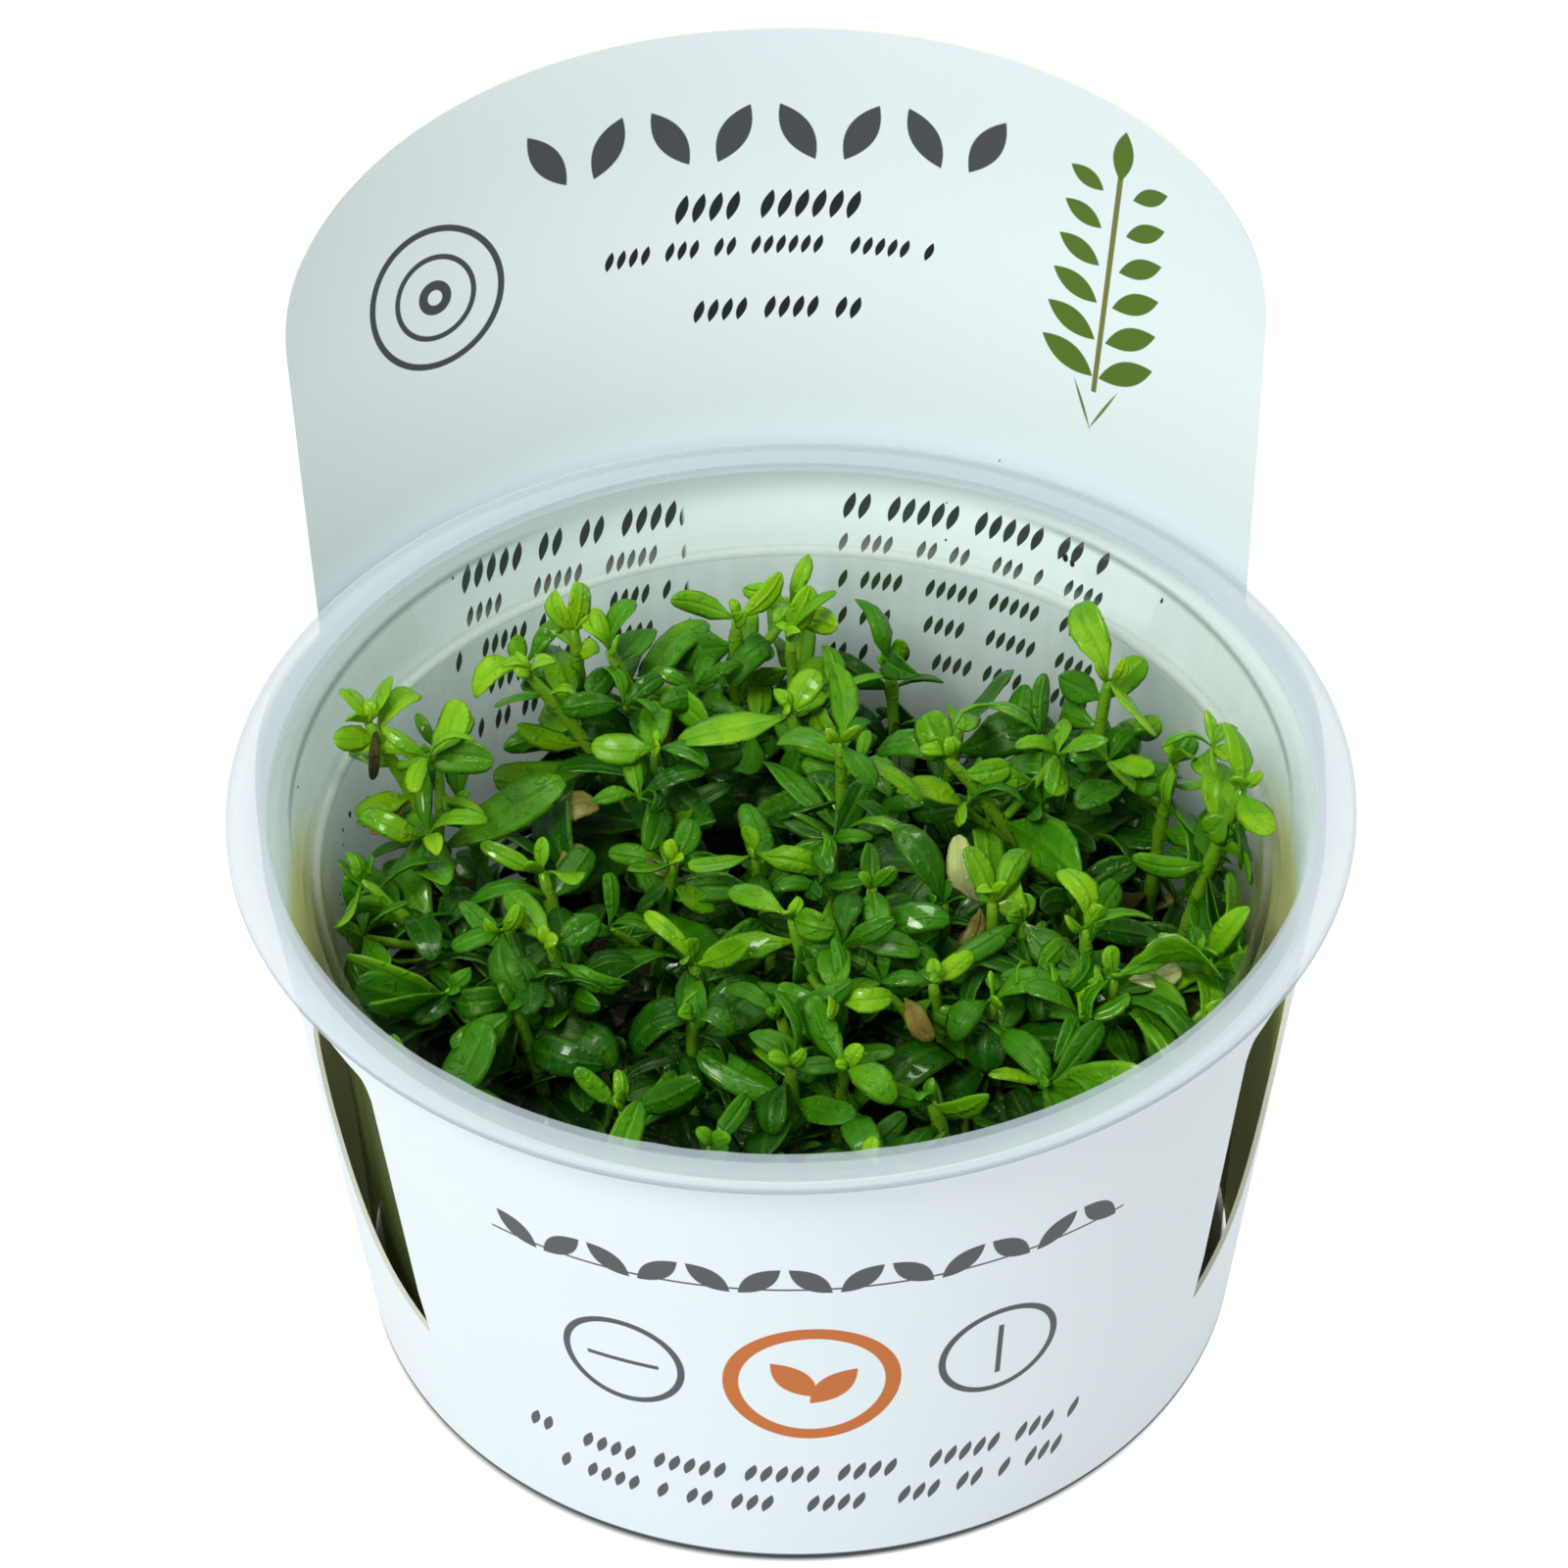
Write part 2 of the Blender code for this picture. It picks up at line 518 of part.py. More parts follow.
def matched(ring, root_ring):
    """The ring's corners in the order that fits the face it grows from, without twist."""
    best, best_sum = None, None
    for flip in (1, -1):
        for shift in range(4):
            order = [ring[(shift + flip * index) % 4] for index in range(4)]
            total = sum((a - b).length for a, b in zip(order, root_ring))
            if best_sum is None or total < best_sum:
                best, best_sum = order, total
    return best


def grow_stem(shoot):
    """Square stem with a short swollen length at each node, with the side faces of its nodes."""
    length = sum((b - a).length for a, b in zip(stem_samples(shoot), stem_samples(shoot)[1:]))
    first_tip = shoot["nodes"][0][1][0][0]
    first_side = first_tip - shoot["crown"]
    first_side.z = 0
    if first_side.length < 0.1 * MM:
        first_side = Vector((1, 0, 0))
    stations = []
    for drop, leaves in shoot["nodes"]:
        share = max(1 - drop / length, 0.15)
        stations.append((share, leaves))
    shape = bmesh.new()
    rings = [(0.0, None)]
    for share, leaves in sorted(stations, key=lambda entry: entry[0]):
        half = NODE_SWELL / length
        upper = min(share + half, 1.0)
        rings.append((upper - 2 * half, None))
        rings.append((upper, leaves))
    verts = []
    for share, leaves in rings:
        centre = stem_point(shoot, share)
        ahead = stem_point(shoot, min(share + 0.02, 1.0)) - stem_point(shoot, max(share - 0.02, 0.0))
        radius = STEM_FOOT_RADIUS + (STEM_TOP_RADIUS - STEM_FOOT_RADIUS) * share
        corners = ring_around(centre, ahead if share > 0 else Vector((0, 0, 1)), first_side, radius)
        verts.append([shape.verts.new(corner) for corner in corners])
    shape.faces.new(list(reversed(verts[0])))
    shape.faces.new(verts[-1])
    node_sides = []
    for index in range(len(verts) - 1):
        below, above = verts[index], verts[index + 1]
        sides = []
        for corner in range(4):
            after = (corner + 1) % 4
            sides.append(shape.faces.new((below[corner], below[after], above[after], above[corner])))
        if rings[index + 1][1] is not None:
            node_sides.append((sides, rings[index + 1][1]))
    bmesh.ops.recalc_face_normals(shape, faces=shape.faces)
    return shape, node_sides


def tree_of(shape):
    shape.verts.index_update()
    places = [vert.co.copy() for vert in shape.verts]
    return BVHTree.FromPolygons(places, [[vert.index for vert in face.verts] for face in shape.faces])


def grow_leaf(shape, face, tip, width, obstacles):
    """Blade drawn out of a node's side face where it has room; returns its test body or None."""
    root_ring = [vert.co.copy() for vert in face.verts]
    base = sum(root_ring, Vector()) / 4
    outward = face.normal.copy()
    for share in LEAF_SHARES:
        for turn in LEAF_TURNS:
            spin = Matrix.Rotation(math.radians(turn), 3, 'Z')
            reach = spin @ (tip - base) * share
            if reach.dot(outward) < 0.25 * reach.length:
                continue
            end = inside_cup(base + reach, BLADE_MARGIN)
            rings, across, up = leaf_rings(base, end, width * (0.7 + 0.3 * share))
            lifted = [corner + outward * 0.12 * MM for corner in root_ring]
            trial = blade_tree(matched(lifted, rings[0]), rings, across, up)
            if any(trial.overlap(other) for other in obstacles):
                continue
            for ring in rings:
                grown = bmesh.ops.extrude_discrete_faces(shape, faces=[face])["faces"][0]
                target = matched(ring, [vert.co.copy() for vert in grown.verts])
                for vert, place in zip(grown.verts, target):
                    vert.co = place
                face = grown
                face.normal_update()
            return trial
    return None


def grow_shoots(collection, material, cup_wall):
    """Every stem first, then the leaves, topmost pairs of all shoots before the lower ones."""
    shoots = stand_of_shoots()
    bodies = []
    stems = []
    for shoot in shoots:
        shape, node_sides = grow_stem(shoot)
        stems.append(tree_of(shape))
        bodies.append((shape, node_sides, []))
    levels = max(len(node_sides) for shape, node_sides, blades in bodies)
    for level in range(levels):
        for index, (shape, node_sides, blades) in enumerate(bodies):
            if level >= len(node_sides):
                continue
            free, leaves = node_sides[-1 - level]
            centre = sum((vert.co for face in free for vert in face.verts), Vector()) / 16
            for tip, width in leaves:
                free.sort(key=lambda face: -face.normal.dot((tip - centre).normalized()))
                obstacles = [cup_wall] + [tree for other, tree in enumerate(stems) if other != index]
                obstacles += [blade for other in bodies for blade in other[2]]
                blade = grow_leaf(shape, free[0], tip, width, obstacles)
                if blade:
                    blades.append(blade)
                    free.pop(0)
    made = []
    for number, (shape, node_sides, blades) in enumerate(bodies, 1):
        bmesh.ops.recalc_face_normals(shape, faces=shape.faces)
        name = "shoot_%02d" % number
        made.append(new_object(name, mesh_from(shape, name), collection, material))
    return made


def cup_wall_tree():
    """The cup's inside as a plain lining, a gap nearer than the real one."""
    shape = bmesh.new()
    levels = (GEL_HEIGHT * 0.5, STEP_HEIGHT - 0.1 * MM, STEP_HEIGHT + 0.1 * MM, RIM_HEIGHT + 20 * MM)
    rings = []
    for height in levels:
        radius = wall_radius(height) - GAP
        made = bmesh.ops.create_circle(shape, cap_ends=False, segments=CUP_SIDES, radius=radius)
        for vert in made["verts"]:
            vert.co.z = height
        rings.append(list({edge for vert in made["verts"] for edge in vert.link_edges}))
    for lower, upper in zip(rings, rings[1:]):
        bmesh.ops.bridge_loops(shape, edges=lower + upper)
    tree = tree_of(shape)
    shape.free()
    return tree


def main():
    for item in list(bpy.data.objects):
        bpy.data.objects.remove(item)
    pot = bpy.data.collections.new("potted_rotala")
    cutters = bpy.data.collections.new("cutters")
    bpy.context.scene.collection.children.link(pot)
    bpy.context.scene.collection.children.link(cutters)

    clear = new_material("cup_plastic", (0.80, 0.88, 0.90), 0.25, alpha=0.45)
    card = new_material("card", (0.86, 0.90, 0.93), 0.55)
    jelly = new_material("gel", (0.42, 0.45, 0.25), 0.15)
    green = new_material("young_green", (0.10, 0.36, 0.03), 0.35)

    turned("cup", cup_profile(), CUP_SIDES, pot, clear)
    gel_foot = CUP_WALL + GAP
    gel = [(0, GEL_HEIGHT), (wall_radius(GEL_HEIGHT) - 2 * GAP, GEL_HEIGHT),
           (wall_radius(BASE_CORNER) - 2 * GAP, BASE_CORNER + GAP),
           (BASE_RADIUS - CUP_WALL - BASE_CORNER, gel_foot), (0, gel_foot)]
    turned("nutrient_gel", gel, GEL_SIDES, pot, jelly)
    card_sleeve(pot, cutters, card)
    grow_shoots(pot, green, cup_wall_tree())


main()
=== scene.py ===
import math
import random

import bmesh
import bpy
from mathutils import Matrix, Vector, noise
from mathutils.kdtree import KDTree


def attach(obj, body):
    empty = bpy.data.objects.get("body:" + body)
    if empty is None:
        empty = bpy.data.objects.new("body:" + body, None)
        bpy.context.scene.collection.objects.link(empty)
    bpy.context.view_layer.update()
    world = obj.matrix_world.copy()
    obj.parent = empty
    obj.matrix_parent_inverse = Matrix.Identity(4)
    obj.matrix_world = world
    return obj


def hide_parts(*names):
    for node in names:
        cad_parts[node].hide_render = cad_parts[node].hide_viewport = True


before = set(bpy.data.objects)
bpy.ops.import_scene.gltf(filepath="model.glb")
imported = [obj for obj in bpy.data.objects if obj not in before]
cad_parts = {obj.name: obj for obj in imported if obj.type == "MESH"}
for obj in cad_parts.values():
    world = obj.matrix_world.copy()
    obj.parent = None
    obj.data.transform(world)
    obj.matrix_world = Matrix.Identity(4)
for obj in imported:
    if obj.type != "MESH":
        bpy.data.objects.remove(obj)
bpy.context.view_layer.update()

mm = 0.001
goldenAngle = math.pi * (3 - math.sqrt(5))


# a socket that adds its own Math nodes
class Signal:
    def __init__(self, graph, socket):
        self.graph = graph
        self.socket = socket

    def __add__(self, other):
        return self.graph.math('ADD', self, other)

    def __radd__(self, other):
        return self.graph.math('ADD', other, self)

    def __sub__(self, other):
        return self.graph.math('SUBTRACT', self, other)

    def __rsub__(self, other):
        return self.graph.math('SUBTRACT', other, self)

    def __mul__(self, other):
        return self.graph.math('MULTIPLY', self, other)

    def __rmul__(self, other):
        return self.graph.math('MULTIPLY', other, self)

    def __truediv__(self, other):
        return self.graph.math('DIVIDE', self, other)

    def __pow__(self, other):
        return self.graph.math('POWER', self, other)

    def __abs__(self):
        return self.graph.math('ABSOLUTE', self)


class Graph:
    def __init__(self, name):
        self.material = bpy.data.materials.new(name)
        self.material.use_nodes = True
        self.tree = self.material.node_tree
        self.tree.nodes.clear()

    def make(self, kind, settings=None, inputs=None, output=0):
        node = self.tree.nodes.new(kind)
        for key, value in (settings or {}).items():
            if key == "stops":
                ramp = node.color_ramp
                while len(ramp.elements) < len(value):
                    ramp.elements.new(0.5)
                for element, (place, colour) in zip(ramp.elements, value):
                    element.position = place
                    element.color = (*colour, 1.0)
            else:
                setattr(node, key, value)
        for key, value in (inputs or {}).items():
            socket = node.inputs[key]
            if isinstance(value, Signal):
                self.tree.links.new(value.socket, socket)
            elif isinstance(value, tuple) and len(value) == 3 and socket.type == 'RGBA':
                socket.default_value = (*value, 1.0)
            else:
                socket.default_value = value
        return Signal(self, node.outputs[output])

    def math(self, operation, first, second=None):
        values = {0: first} if second is None else {0: first, 1: second}
        return self.make('ShaderNodeMath', {"operation": operation}, values)

    def clamp(self, value):
        return self.make('ShaderNodeClamp', {}, {"Value": value})

    def ease(self, value, low, high):
        return self.make('ShaderNodeMapRange', {"interpolation_type": 'SMOOTHSTEP'},
                         {"Value": value, "From Min": low, "From Max": high, "To Min": 0.0, "To Max": 1.0})

    def fade(self, value, ends):
        # the same ease between two places in mm
        return self.ease(value, ends[0] * mm, ends[1] * mm)

    def mixed(self, factor, first, second, blend='MIX'):
        return self.make('ShaderNodeMix', {"data_type": 'RGBA', "blend_type": blend},
                         {0: factor, 6: first, 7: second}, 2)

    def place(self):
        return self.make('ShaderNodeTexCoord', output=3)

    def parts(self, vector):
        split = self.make('ShaderNodeSeparateXYZ', {}, {0: vector})
        return [Signal(self, socket) for socket in split.socket.node.outputs]

    def noise(self, vector, scale, detail=2.0, roughness=0.5):
        return self.make('ShaderNodeTexNoise', {},
                         {"Vector": vector, "Scale": scale, "Detail": detail, "Roughness": roughness})

    def stretched(self, vector, scale):
        return self.make('ShaderNodeMapping', {}, {"Vector": vector, "Scale": scale})

    def bump(self, height, strength, distance):
        return self.make('ShaderNodeBump', {}, {"Height": height, "Strength": strength, "Distance": distance})

    def finish(self, shader):
        output = self.tree.nodes.new('ShaderNodeOutputMaterial')
        self.tree.links.new(shader.socket, output.inputs["Surface"])
        return self.material


cameraSettings = {
    # distances in metres, angles in degrees, places in the picture in pixels
    "distance": 0.450, "elevation": 41.03, "bearing": -1.2, "roll": -1.04,
    "focalPixels": 5190.0, "imagePixels": 1600.0, "sensor": 36.0, "centre": (806.5, 797.0),
    "aimHeight": 0.0574, "clipStart": 0.01,
}


def sightFrame():
    tilt = math.radians(cameraSettings["elevation"])
    roll = math.radians(cameraSettings["roll"])
    turn = Matrix.Rotation(math.radians(cameraSettings["bearing"]), 3, 'Z')
    back = turn @ Vector((0, -math.cos(tilt), math.sin(tilt)))
    eye = Vector((0, 0, cameraSettings["aimHeight"])) + back * cameraSettings["distance"]
    forward = -back
    right = forward.cross(Vector((0, 0, 1))).normalized()
    up = right.cross(forward)
    rolledRight = right * math.cos(roll) + up * math.sin(roll)
    rolledUp = up * math.cos(roll) - right * math.sin(roll)
    return eye, forward, rolledRight, rolledUp


eye, forward, rightward, upward = sightFrame()


def placeCamera():
    lens = bpy.data.cameras.new("studioCamera")
    lens.sensor_width = cameraSettings["sensor"]
    lens.lens = cameraSettings["focalPixels"] / cameraSettings["imagePixels"] * cameraSettings["sensor"]
    half = cameraSettings["imagePixels"] / 2
    lens.shift_x = (half - cameraSettings["centre"][0]) / cameraSettings["imagePixels"]
    lens.shift_y = (cameraSettings["centre"][1] - half) / cameraSettings["imagePixels"]
    lens.clip_start = cameraSettings["clipStart"]
    camera = bpy.data.objects.new("studioCamera", lens)
    turn = Matrix((rightward, upward, -forward)).transposed().to_4x4()
    camera.matrix_world = Matrix.Translation(eye) @ turn
    bpy.context.scene.collection.objects.link(camera)
    bpy.context.scene.camera = camera


placeCamera()
print("camera placed")


def addPiece(name, shape, materials, slot, *nodes):
    mesh = bpy.data.meshes.new(name)
    shape.to_mesh(mesh)
    shape.free()
    addMesh(name, mesh, materials, slot, *nodes)


def addMesh(name, mesh, materials, slot, *nodes):
    for material in materials:
        mesh.materials.append(material)
    piece = bpy.data.objects.new(name, mesh)
    bpy.context.scene.collection.objects.link(piece)
    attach(piece, "root")
    if nodes:
        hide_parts(*nodes)


def smoothShape(shape):
    for face in shape.faces:
        face.smooth = True


def seenAt(across, down, height):
    # the point at this height on the sight line of a picture point
    middle = cameraSettings["centre"]
    focal = cameraSettings["focalPixels"]
    ray = forward + rightward * ((across - middle[0]) / focal) - upward * ((down - middle[1]) / focal)
    return eye + ray * ((height - eye.z) / ray.z)


cup = {
    # sizes in mm; a burr is its picture point, reach and lift
    "rimRadius": 50.0, "rimHeight": 57.4, "lipRadius": 44.5, "stepHeight": 49.7, "stepRadius": 42.1,
    "stepWidth": 0.7, "baseRadius": 40.2, "baseCorner": 3.0, "wall": 0.8, "turns": 160,
    "frostFrom": 46.3, "frostDepth": 0.12, "skirt": 1.2, "floorMargin": 14, "waistHeight": 24,
    "waistBulges": (0.9, 1.6), "draft": 0.1, "merge": 0.005, "burrRise": 0.35,
    "burrs": ((467, 1095, 1.6, 0.8), (742, 1180, 1.3, 0.4), (901, 1178, 1.3, 0.4), (662, 1172, 1.2, 0.35)),
}


def wallRadius(height):
    # inner radius of the cup's wall at a height, both in metres
    if height > cup["stepHeight"] * mm:
        rise = (height / mm - cup["stepHeight"]) / (cup["rimHeight"] - cup["stepHeight"])
        foot = cup["stepRadius"] + cup["stepWidth"]
        return (foot + (cup["lipRadius"] - foot) * min(rise, 1.0)) * mm
    lean = (cup["stepRadius"] - cup["baseRadius"] + cup["wall"]) / (cup["stepHeight"] - cup["baseCorner"])
    return (cup["baseRadius"] - cup["wall"] + lean * max(height / mm - cup["baseCorner"], 0)) * mm


def insideCup(point, margin):
    # the point, drawn in towards the axis where it would come nearer to the wall than the margin
    room = wallRadius(point.z) - margin
    flat = Vector((point.x, point.y, 0))
    if flat.length > room:
        flat *= room / flat.length
    return Vector((flat.x, flat.y, point.z))


def rounded(corners, steps=4):
    # a profile of (radius, height, corner rounding) in mm, with its corners filleted
    mostOfSide = 0.48
    points = []
    for index, (radius, height, rounding) in enumerate(corners):
        here = Vector((radius, height))
        if rounding == 0 or index in (0, len(corners) - 1):
            points.append(here)
            continue
        before = Vector(corners[index - 1][:2])
        after = Vector(corners[index + 1][:2])
        entry = here + (before - here).normalized() * min(rounding, (before - here).length * mostOfSide)
        leave = here + (after - here).normalized() * min(rounding, (after - here).length * mostOfSide)
        for step in range(steps + 1):
            share = step / steps
            points.append(entry * (1 - share) ** 2 + here * 2 * share * (1 - share) + leave * share ** 2)
    return points


def turnedShape(points, turns):
    # a profile spun about the upright axis
    shape = bmesh.new()
    verts = [shape.verts.new((point.x * mm, 0, point.y * mm)) for point in points]
    edges = [shape.edges.new(pair) for pair in zip(verts, verts[1:])]
    bmesh.ops.spin(shape, geom=verts + edges, cent=(0, 0, 0), axis=(0, 0, 1), angle=math.tau,
                   steps=turns, use_merge=True)
    bmesh.ops.remove_doubles(shape, verts=shape.verts, dist=cup["merge"] * mm)
    bmesh.ops.recalc_face_normals(shape, faces=shape.faces)
    smoothShape(shape)
    return shape


def makeCup(material):
    # corners as radius, height and rounding, up the inner side and down the outer one
    wall, draft, frost = cup["wall"], cup["draft"], cup["frostFrom"]
    inner = cup["baseRadius"] - wall
    flat = inner - cup["floorMargin"]
    rim, rimRadius, lip = cup["rimHeight"], cup["rimRadius"], cup["lipRadius"]
    underRim = rim - cup["skirt"]
    step, stepRadius = cup["stepHeight"], cup["stepRadius"]
    ledge = stepRadius + cup["stepWidth"]
    waist, bulges = cup["waistHeight"], cup["waistBulges"]
    frosted = rim - cup["frostDepth"]
    corners = [
        (0, wall, 0), (flat, wall, 0), (inner - 2 * draft, wall + draft, 2.6),
        (inner + bulges[0], waist, 0), (stepRadius - draft / 2, step - 0.15, 0.25),
        (ledge + draft / 2, step + draft, 0.3), (lip - 0.3, rim - 1.4, 0),
        (lip + draft, frosted, 0.5), (frost - draft, frosted, 0.2),
        (frost + draft, rim, 0.2), (rimRadius - draft, rim, 0.45), (rimRadius, underRim, 0.3),
        (rimRadius - 0.8, underRim + draft, 0.3), (lip + 0.9, rim - 1.05, 0.5),
        (ledge + wall, step - 0.4, 0.4), (stepRadius + wall, step - 1.0, 0.4),
        (inner + bulges[1], waist, 0), (cup["baseRadius"] - draft, 0.0, 2.8), (flat, 0, 0), (0, 0, 0)]
    shape = turnedShape(rounded(corners), cup["turns"])
    for across, down, reach, lift in cup["burrs"]:
        # a moulding burr on the edge of the frosted ring
        spot = seenAt(across, down, rim * mm)
        inward = Vector((-spot.x, -spot.y, 0)).normalized()
        for vert in shape.verts:
            near = (vert.co - spot).length / (reach * mm)
            if near < 1:
                vert.co += (inward + Vector((0, 0, cup["burrRise"]))) * lift * mm * (1 - near)
    addPiece("clearCup", shape, [material], "cup_plastic", "cup")


cupLook = {
    # the lower wall's haze colour is painted green shade
    "wallHaze": (0.56, 0.66, 0.55), "lowerShadeHaze": (0.12, 0.20, 0.045), "frost": (0.25, 0.31, 0.36),
    # painted shade: the skirt colour darkens the flange's outer edge, and the ledge colour draws dark lines
    # at the ledge and the lip
    "frostRim": (0.34, 0.40, 0.43), "skirt": (0.20, 0.27, 0.32), "ledge": (0.07, 0.11, 0.10),
    # painted light: the frosted ring is given a glow, and a painted band of light lies just above the ledge
    "glow": (0.90, 0.95, 0.84), "glowing": (0.80, 0.88, 0.92), "glowStrength": 0.375,
    "clear": 0.004, "wall": 0.06, "lower": 0.15, "frosted": 0.52, "ledgeShadeLine": 0.30, "ledgeGlow": 0.16,
    # the colour and haze by the windows are painted green shade
    "lipShadeLine": 0.50, "byWindow": (0.23, 0.27, 0.09), "windowShadeAlpha": 0.40,
    # the side walls' tint is painted green shade
    "sides": 0.10, "sideShadeTint": (0.44, 0.54, 0.36),
    "sheen": (0.86, 0.92, 0.90), "lowerSheen": (0.34, 0.46, 0.20), "sheenShare": 0.13,
    "streakScale": 420.0, "cloudScale": 90.0, "ringScale": 5200.0, "scratchScale": 900.0,
}

# where the plastic's looks change, in mm; a pair is where a fade starts and ends
cupZones = {
    "frost": (cup["frostFrom"] - 0.08, cup["frostFrom"] + 0.12), "rim": (46.6, 49.2), "skirt": (49.5, 49.85),
    "underRim": (57.1, 56.7), "lower": (49.75, 49.45), "wallLean": 0.2078, "innerFace": (32.75, 32.45),
    "belowTop": (57.2, 56.9), "front": (4, -16), "back": (0, 14), "nearFront": (48.2, 49.2),
    "ledgeAt": 49.58, "ledgeShadeLine": (0.30, 0.05), "ledgeEdge": (43.2, 42.8), "glowAt": 50.5,
    "ledgeGlow": (1.4, 0.2), "sides": (26, 42), "behind": (-10, 0), "lipAt": 44.2, "lipShadeLine": (0.34, 0.08),
    "lipRise": (55.6, 56.4), "lipSides": (16, 30), "windows": (30, 34), "windowFront": (2, -3),
    "windowBack": (-16, -9), "calmAt": 49.7, "calm": (0.5, 1.3), "lip": (56.0, 56.6),
}


def cupMasks(graph, place):
    # where each part of the cup's looks lies, from 0 to 1
    zones = cupZones
    x, y, z = graph.parts(place)
    radius = (x * x + y * y) ** 0.5
    found = {"radius": radius}
    found["frost"] = graph.fade(radius, zones["frost"])
    found["rim"] = graph.fade(radius, zones["rim"])
    found["skirt"] = graph.fade(radius, zones["skirt"]) * graph.fade(z, zones["underRim"])
    found["lower"] = graph.fade(z, zones["lower"])
    # the wall's inner face above the ledge
    inside = graph.fade(radius - z * zones["wallLean"], zones["innerFace"])
    found["haze"] = graph.math('MAXIMUM', found["lower"], inside * graph.fade(z, zones["belowTop"]))
    front = graph.fade(y, zones["front"])
    # a painted dark line of shade along the ledge's crease
    ledge = graph.fade(abs(z - zones["ledgeAt"] * mm), zones["ledgeShadeLine"])
    found["ledge"] = ledge * graph.fade(radius, zones["ledgeEdge"]) * (1 - front * 0.9)
    # a painted band of light just above the ledge
    found["glow"] = graph.fade(abs(z - zones["glowAt"] * mm), zones["ledgeGlow"]) * inside * (1 - front)
    found["back"] = graph.fade(y, zones["back"])
    # the side walls of the inner face, painted with green shade
    found["sides"] = inside * graph.fade(abs(x), zones["sides"]) * graph.fade(y, zones["behind"])
    # the front of the upper wall is clear to look through
    found["nearFront"] = graph.fade(z, zones["nearFront"]) * (1 - found["frost"]) * front
    # a painted dark line of shade along the lip's inner edge, at the back and sides
    line = graph.fade(abs(radius - zones["lipAt"] * mm), zones["lipShadeLine"]) * graph.fade(z, zones["lipRise"])
    found["line"] = line * graph.fade(abs(x), zones["lipSides"]) * (1 - front)
    # painted green shade on the lower wall where it is seen through the windows
    byWindow = found["lower"] * graph.fade(abs(x), zones["windows"]) * graph.fade(y, zones["windowFront"])
    found["byWindow"] = byWindow * (0.25 + graph.fade(y, zones["windowBack"]) * 0.75)
    # no glint along the ledge and the lip
    found["calm"] = graph.fade(abs(z - zones["calmAt"] * mm), zones["calm"])
    found["lip"] = graph.fade(z, zones["lip"]) * (1 - found["frost"]) * 0.85
    return found


def cupAlpha(graph, place, masks, clouds):
    streaks = graph.noise(graph.stretched(place, (1.0, 1.0, 0.10)), cupLook["streakScale"], 3.0)
    radius = graph.make('ShaderNodeCombineXYZ', {}, {0: masks["radius"]})
    rings = graph.noise(radius, cupLook["ringScale"], 2.0)
    alpha = cupLook["clear"] + masks["haze"] * cupLook["wall"]
    # the lower wall's painted shade, thinner at the back
    alpha = alpha + masks["lower"] * (1 - masks["back"] * 0.6) * cupLook["lower"]
    alpha = alpha + masks["frost"] * cupLook["frosted"] + masks["sides"] * cupLook["sides"]
    # the painted band of light and the painted dark line at the ledge
    alpha = alpha + masks["glow"] * cupLook["ledgeGlow"] + masks["ledge"] * cupLook["ledgeShadeLine"]
    alpha = alpha + (rings - 0.5) * masks["frost"] * 0.20
    alpha = alpha + masks["byWindow"] * cupLook["windowShadeAlpha"]
    patchy = masks["haze"] * ((clouds - 0.45) * 0.10 + (streaks - 0.50) * 0.16) * (1 - masks["nearFront"])
    alpha = alpha + masks["line"] * cupLook["lipShadeLine"] + patchy
    return graph.clamp(alpha * (1 - masks["nearFront"] * 0.9))


def cupColour(graph, masks):
    # painted green shade on the lower wall, the side walls and by the windows
    colour = graph.mixed(masks["lower"], cupLook["wallHaze"], cupLook["lowerShadeHaze"])
    colour = graph.mixed(masks["sides"], colour, cupLook["sideShadeTint"])
    colour = graph.mixed(masks["byWindow"], colour, cupLook["byWindow"])
    ring = graph.mixed(masks["rim"], cupLook["frost"], cupLook["frostRim"])
    colour = graph.mixed(masks["frost"], colour, ring)
    # painted shade on the flange's outer edge
    colour = graph.mixed(masks["skirt"], colour, cupLook["skirt"])
    # painted shade: dark lines at the ledge and the lip, then the painted band of light above the ledge
    colour = graph.mixed(graph.math('MAXIMUM', masks["ledge"], masks["line"]), colour, cupLook["ledge"])
    return graph.mixed(masks["glow"] * 0.8, colour, cupLook["glow"])


def cupPlastic():
    # a thin hazy film, with a sheen over it where the light grazes it
    graph = Graph("cupPlastic")
    place = graph.place()
    masks = cupMasks(graph, place)
    clouds = graph.noise(place, cupLook["cloudScale"], 3.0)
    scratches = graph.noise(graph.stretched(place, (0.4, 0.4, 3.0)), cupLook["scratchScale"], 2.0)
    # a painted glow in the frosted ring, weaker on its skirt
    frostGlowColour = graph.mixed(masks["frost"] * (1 - masks["skirt"] * 0.7), (0.0, 0.0, 0.0), cupLook["glowing"])
    film = graph.make('ShaderNodeBsdfPrincipled', {}, {
        "Base Color": cupColour(graph, masks), "Roughness": 0.36 + clouds * 0.25,
        "Alpha": cupAlpha(graph, place, masks, clouds), "IOR": 1.45,
        "Emission Color": frostGlowColour, "Emission Strength": cupLook["glowStrength"],
        "Normal": graph.bump(scratches * 0.4 + clouds, 0.08, 0.0004)})
    sheen = graph.make('ShaderNodeBsdfPrincipled', {}, {
        "Base Color": graph.mixed(masks["lower"], cupLook["sheen"], cupLook["lowerSheen"]), "Metallic": 1.0,
        "Roughness": 0.20 + clouds * 0.14, "Normal": graph.bump(clouds, 0.05, 0.0005)})
    dull = graph.math('MAXIMUM', masks["lip"], masks["nearFront"])
    share = cupLook["sheenShare"] * (0.25 + masks["calm"] * 0.75) * (1 - dull)
    edge = graph.make('ShaderNodeFresnel', {}, {"IOR": 1.42}) * share
    return graph.finish(graph.make('ShaderNodeMixShader', {}, {0: edge, 1: film, 2: sheen}))


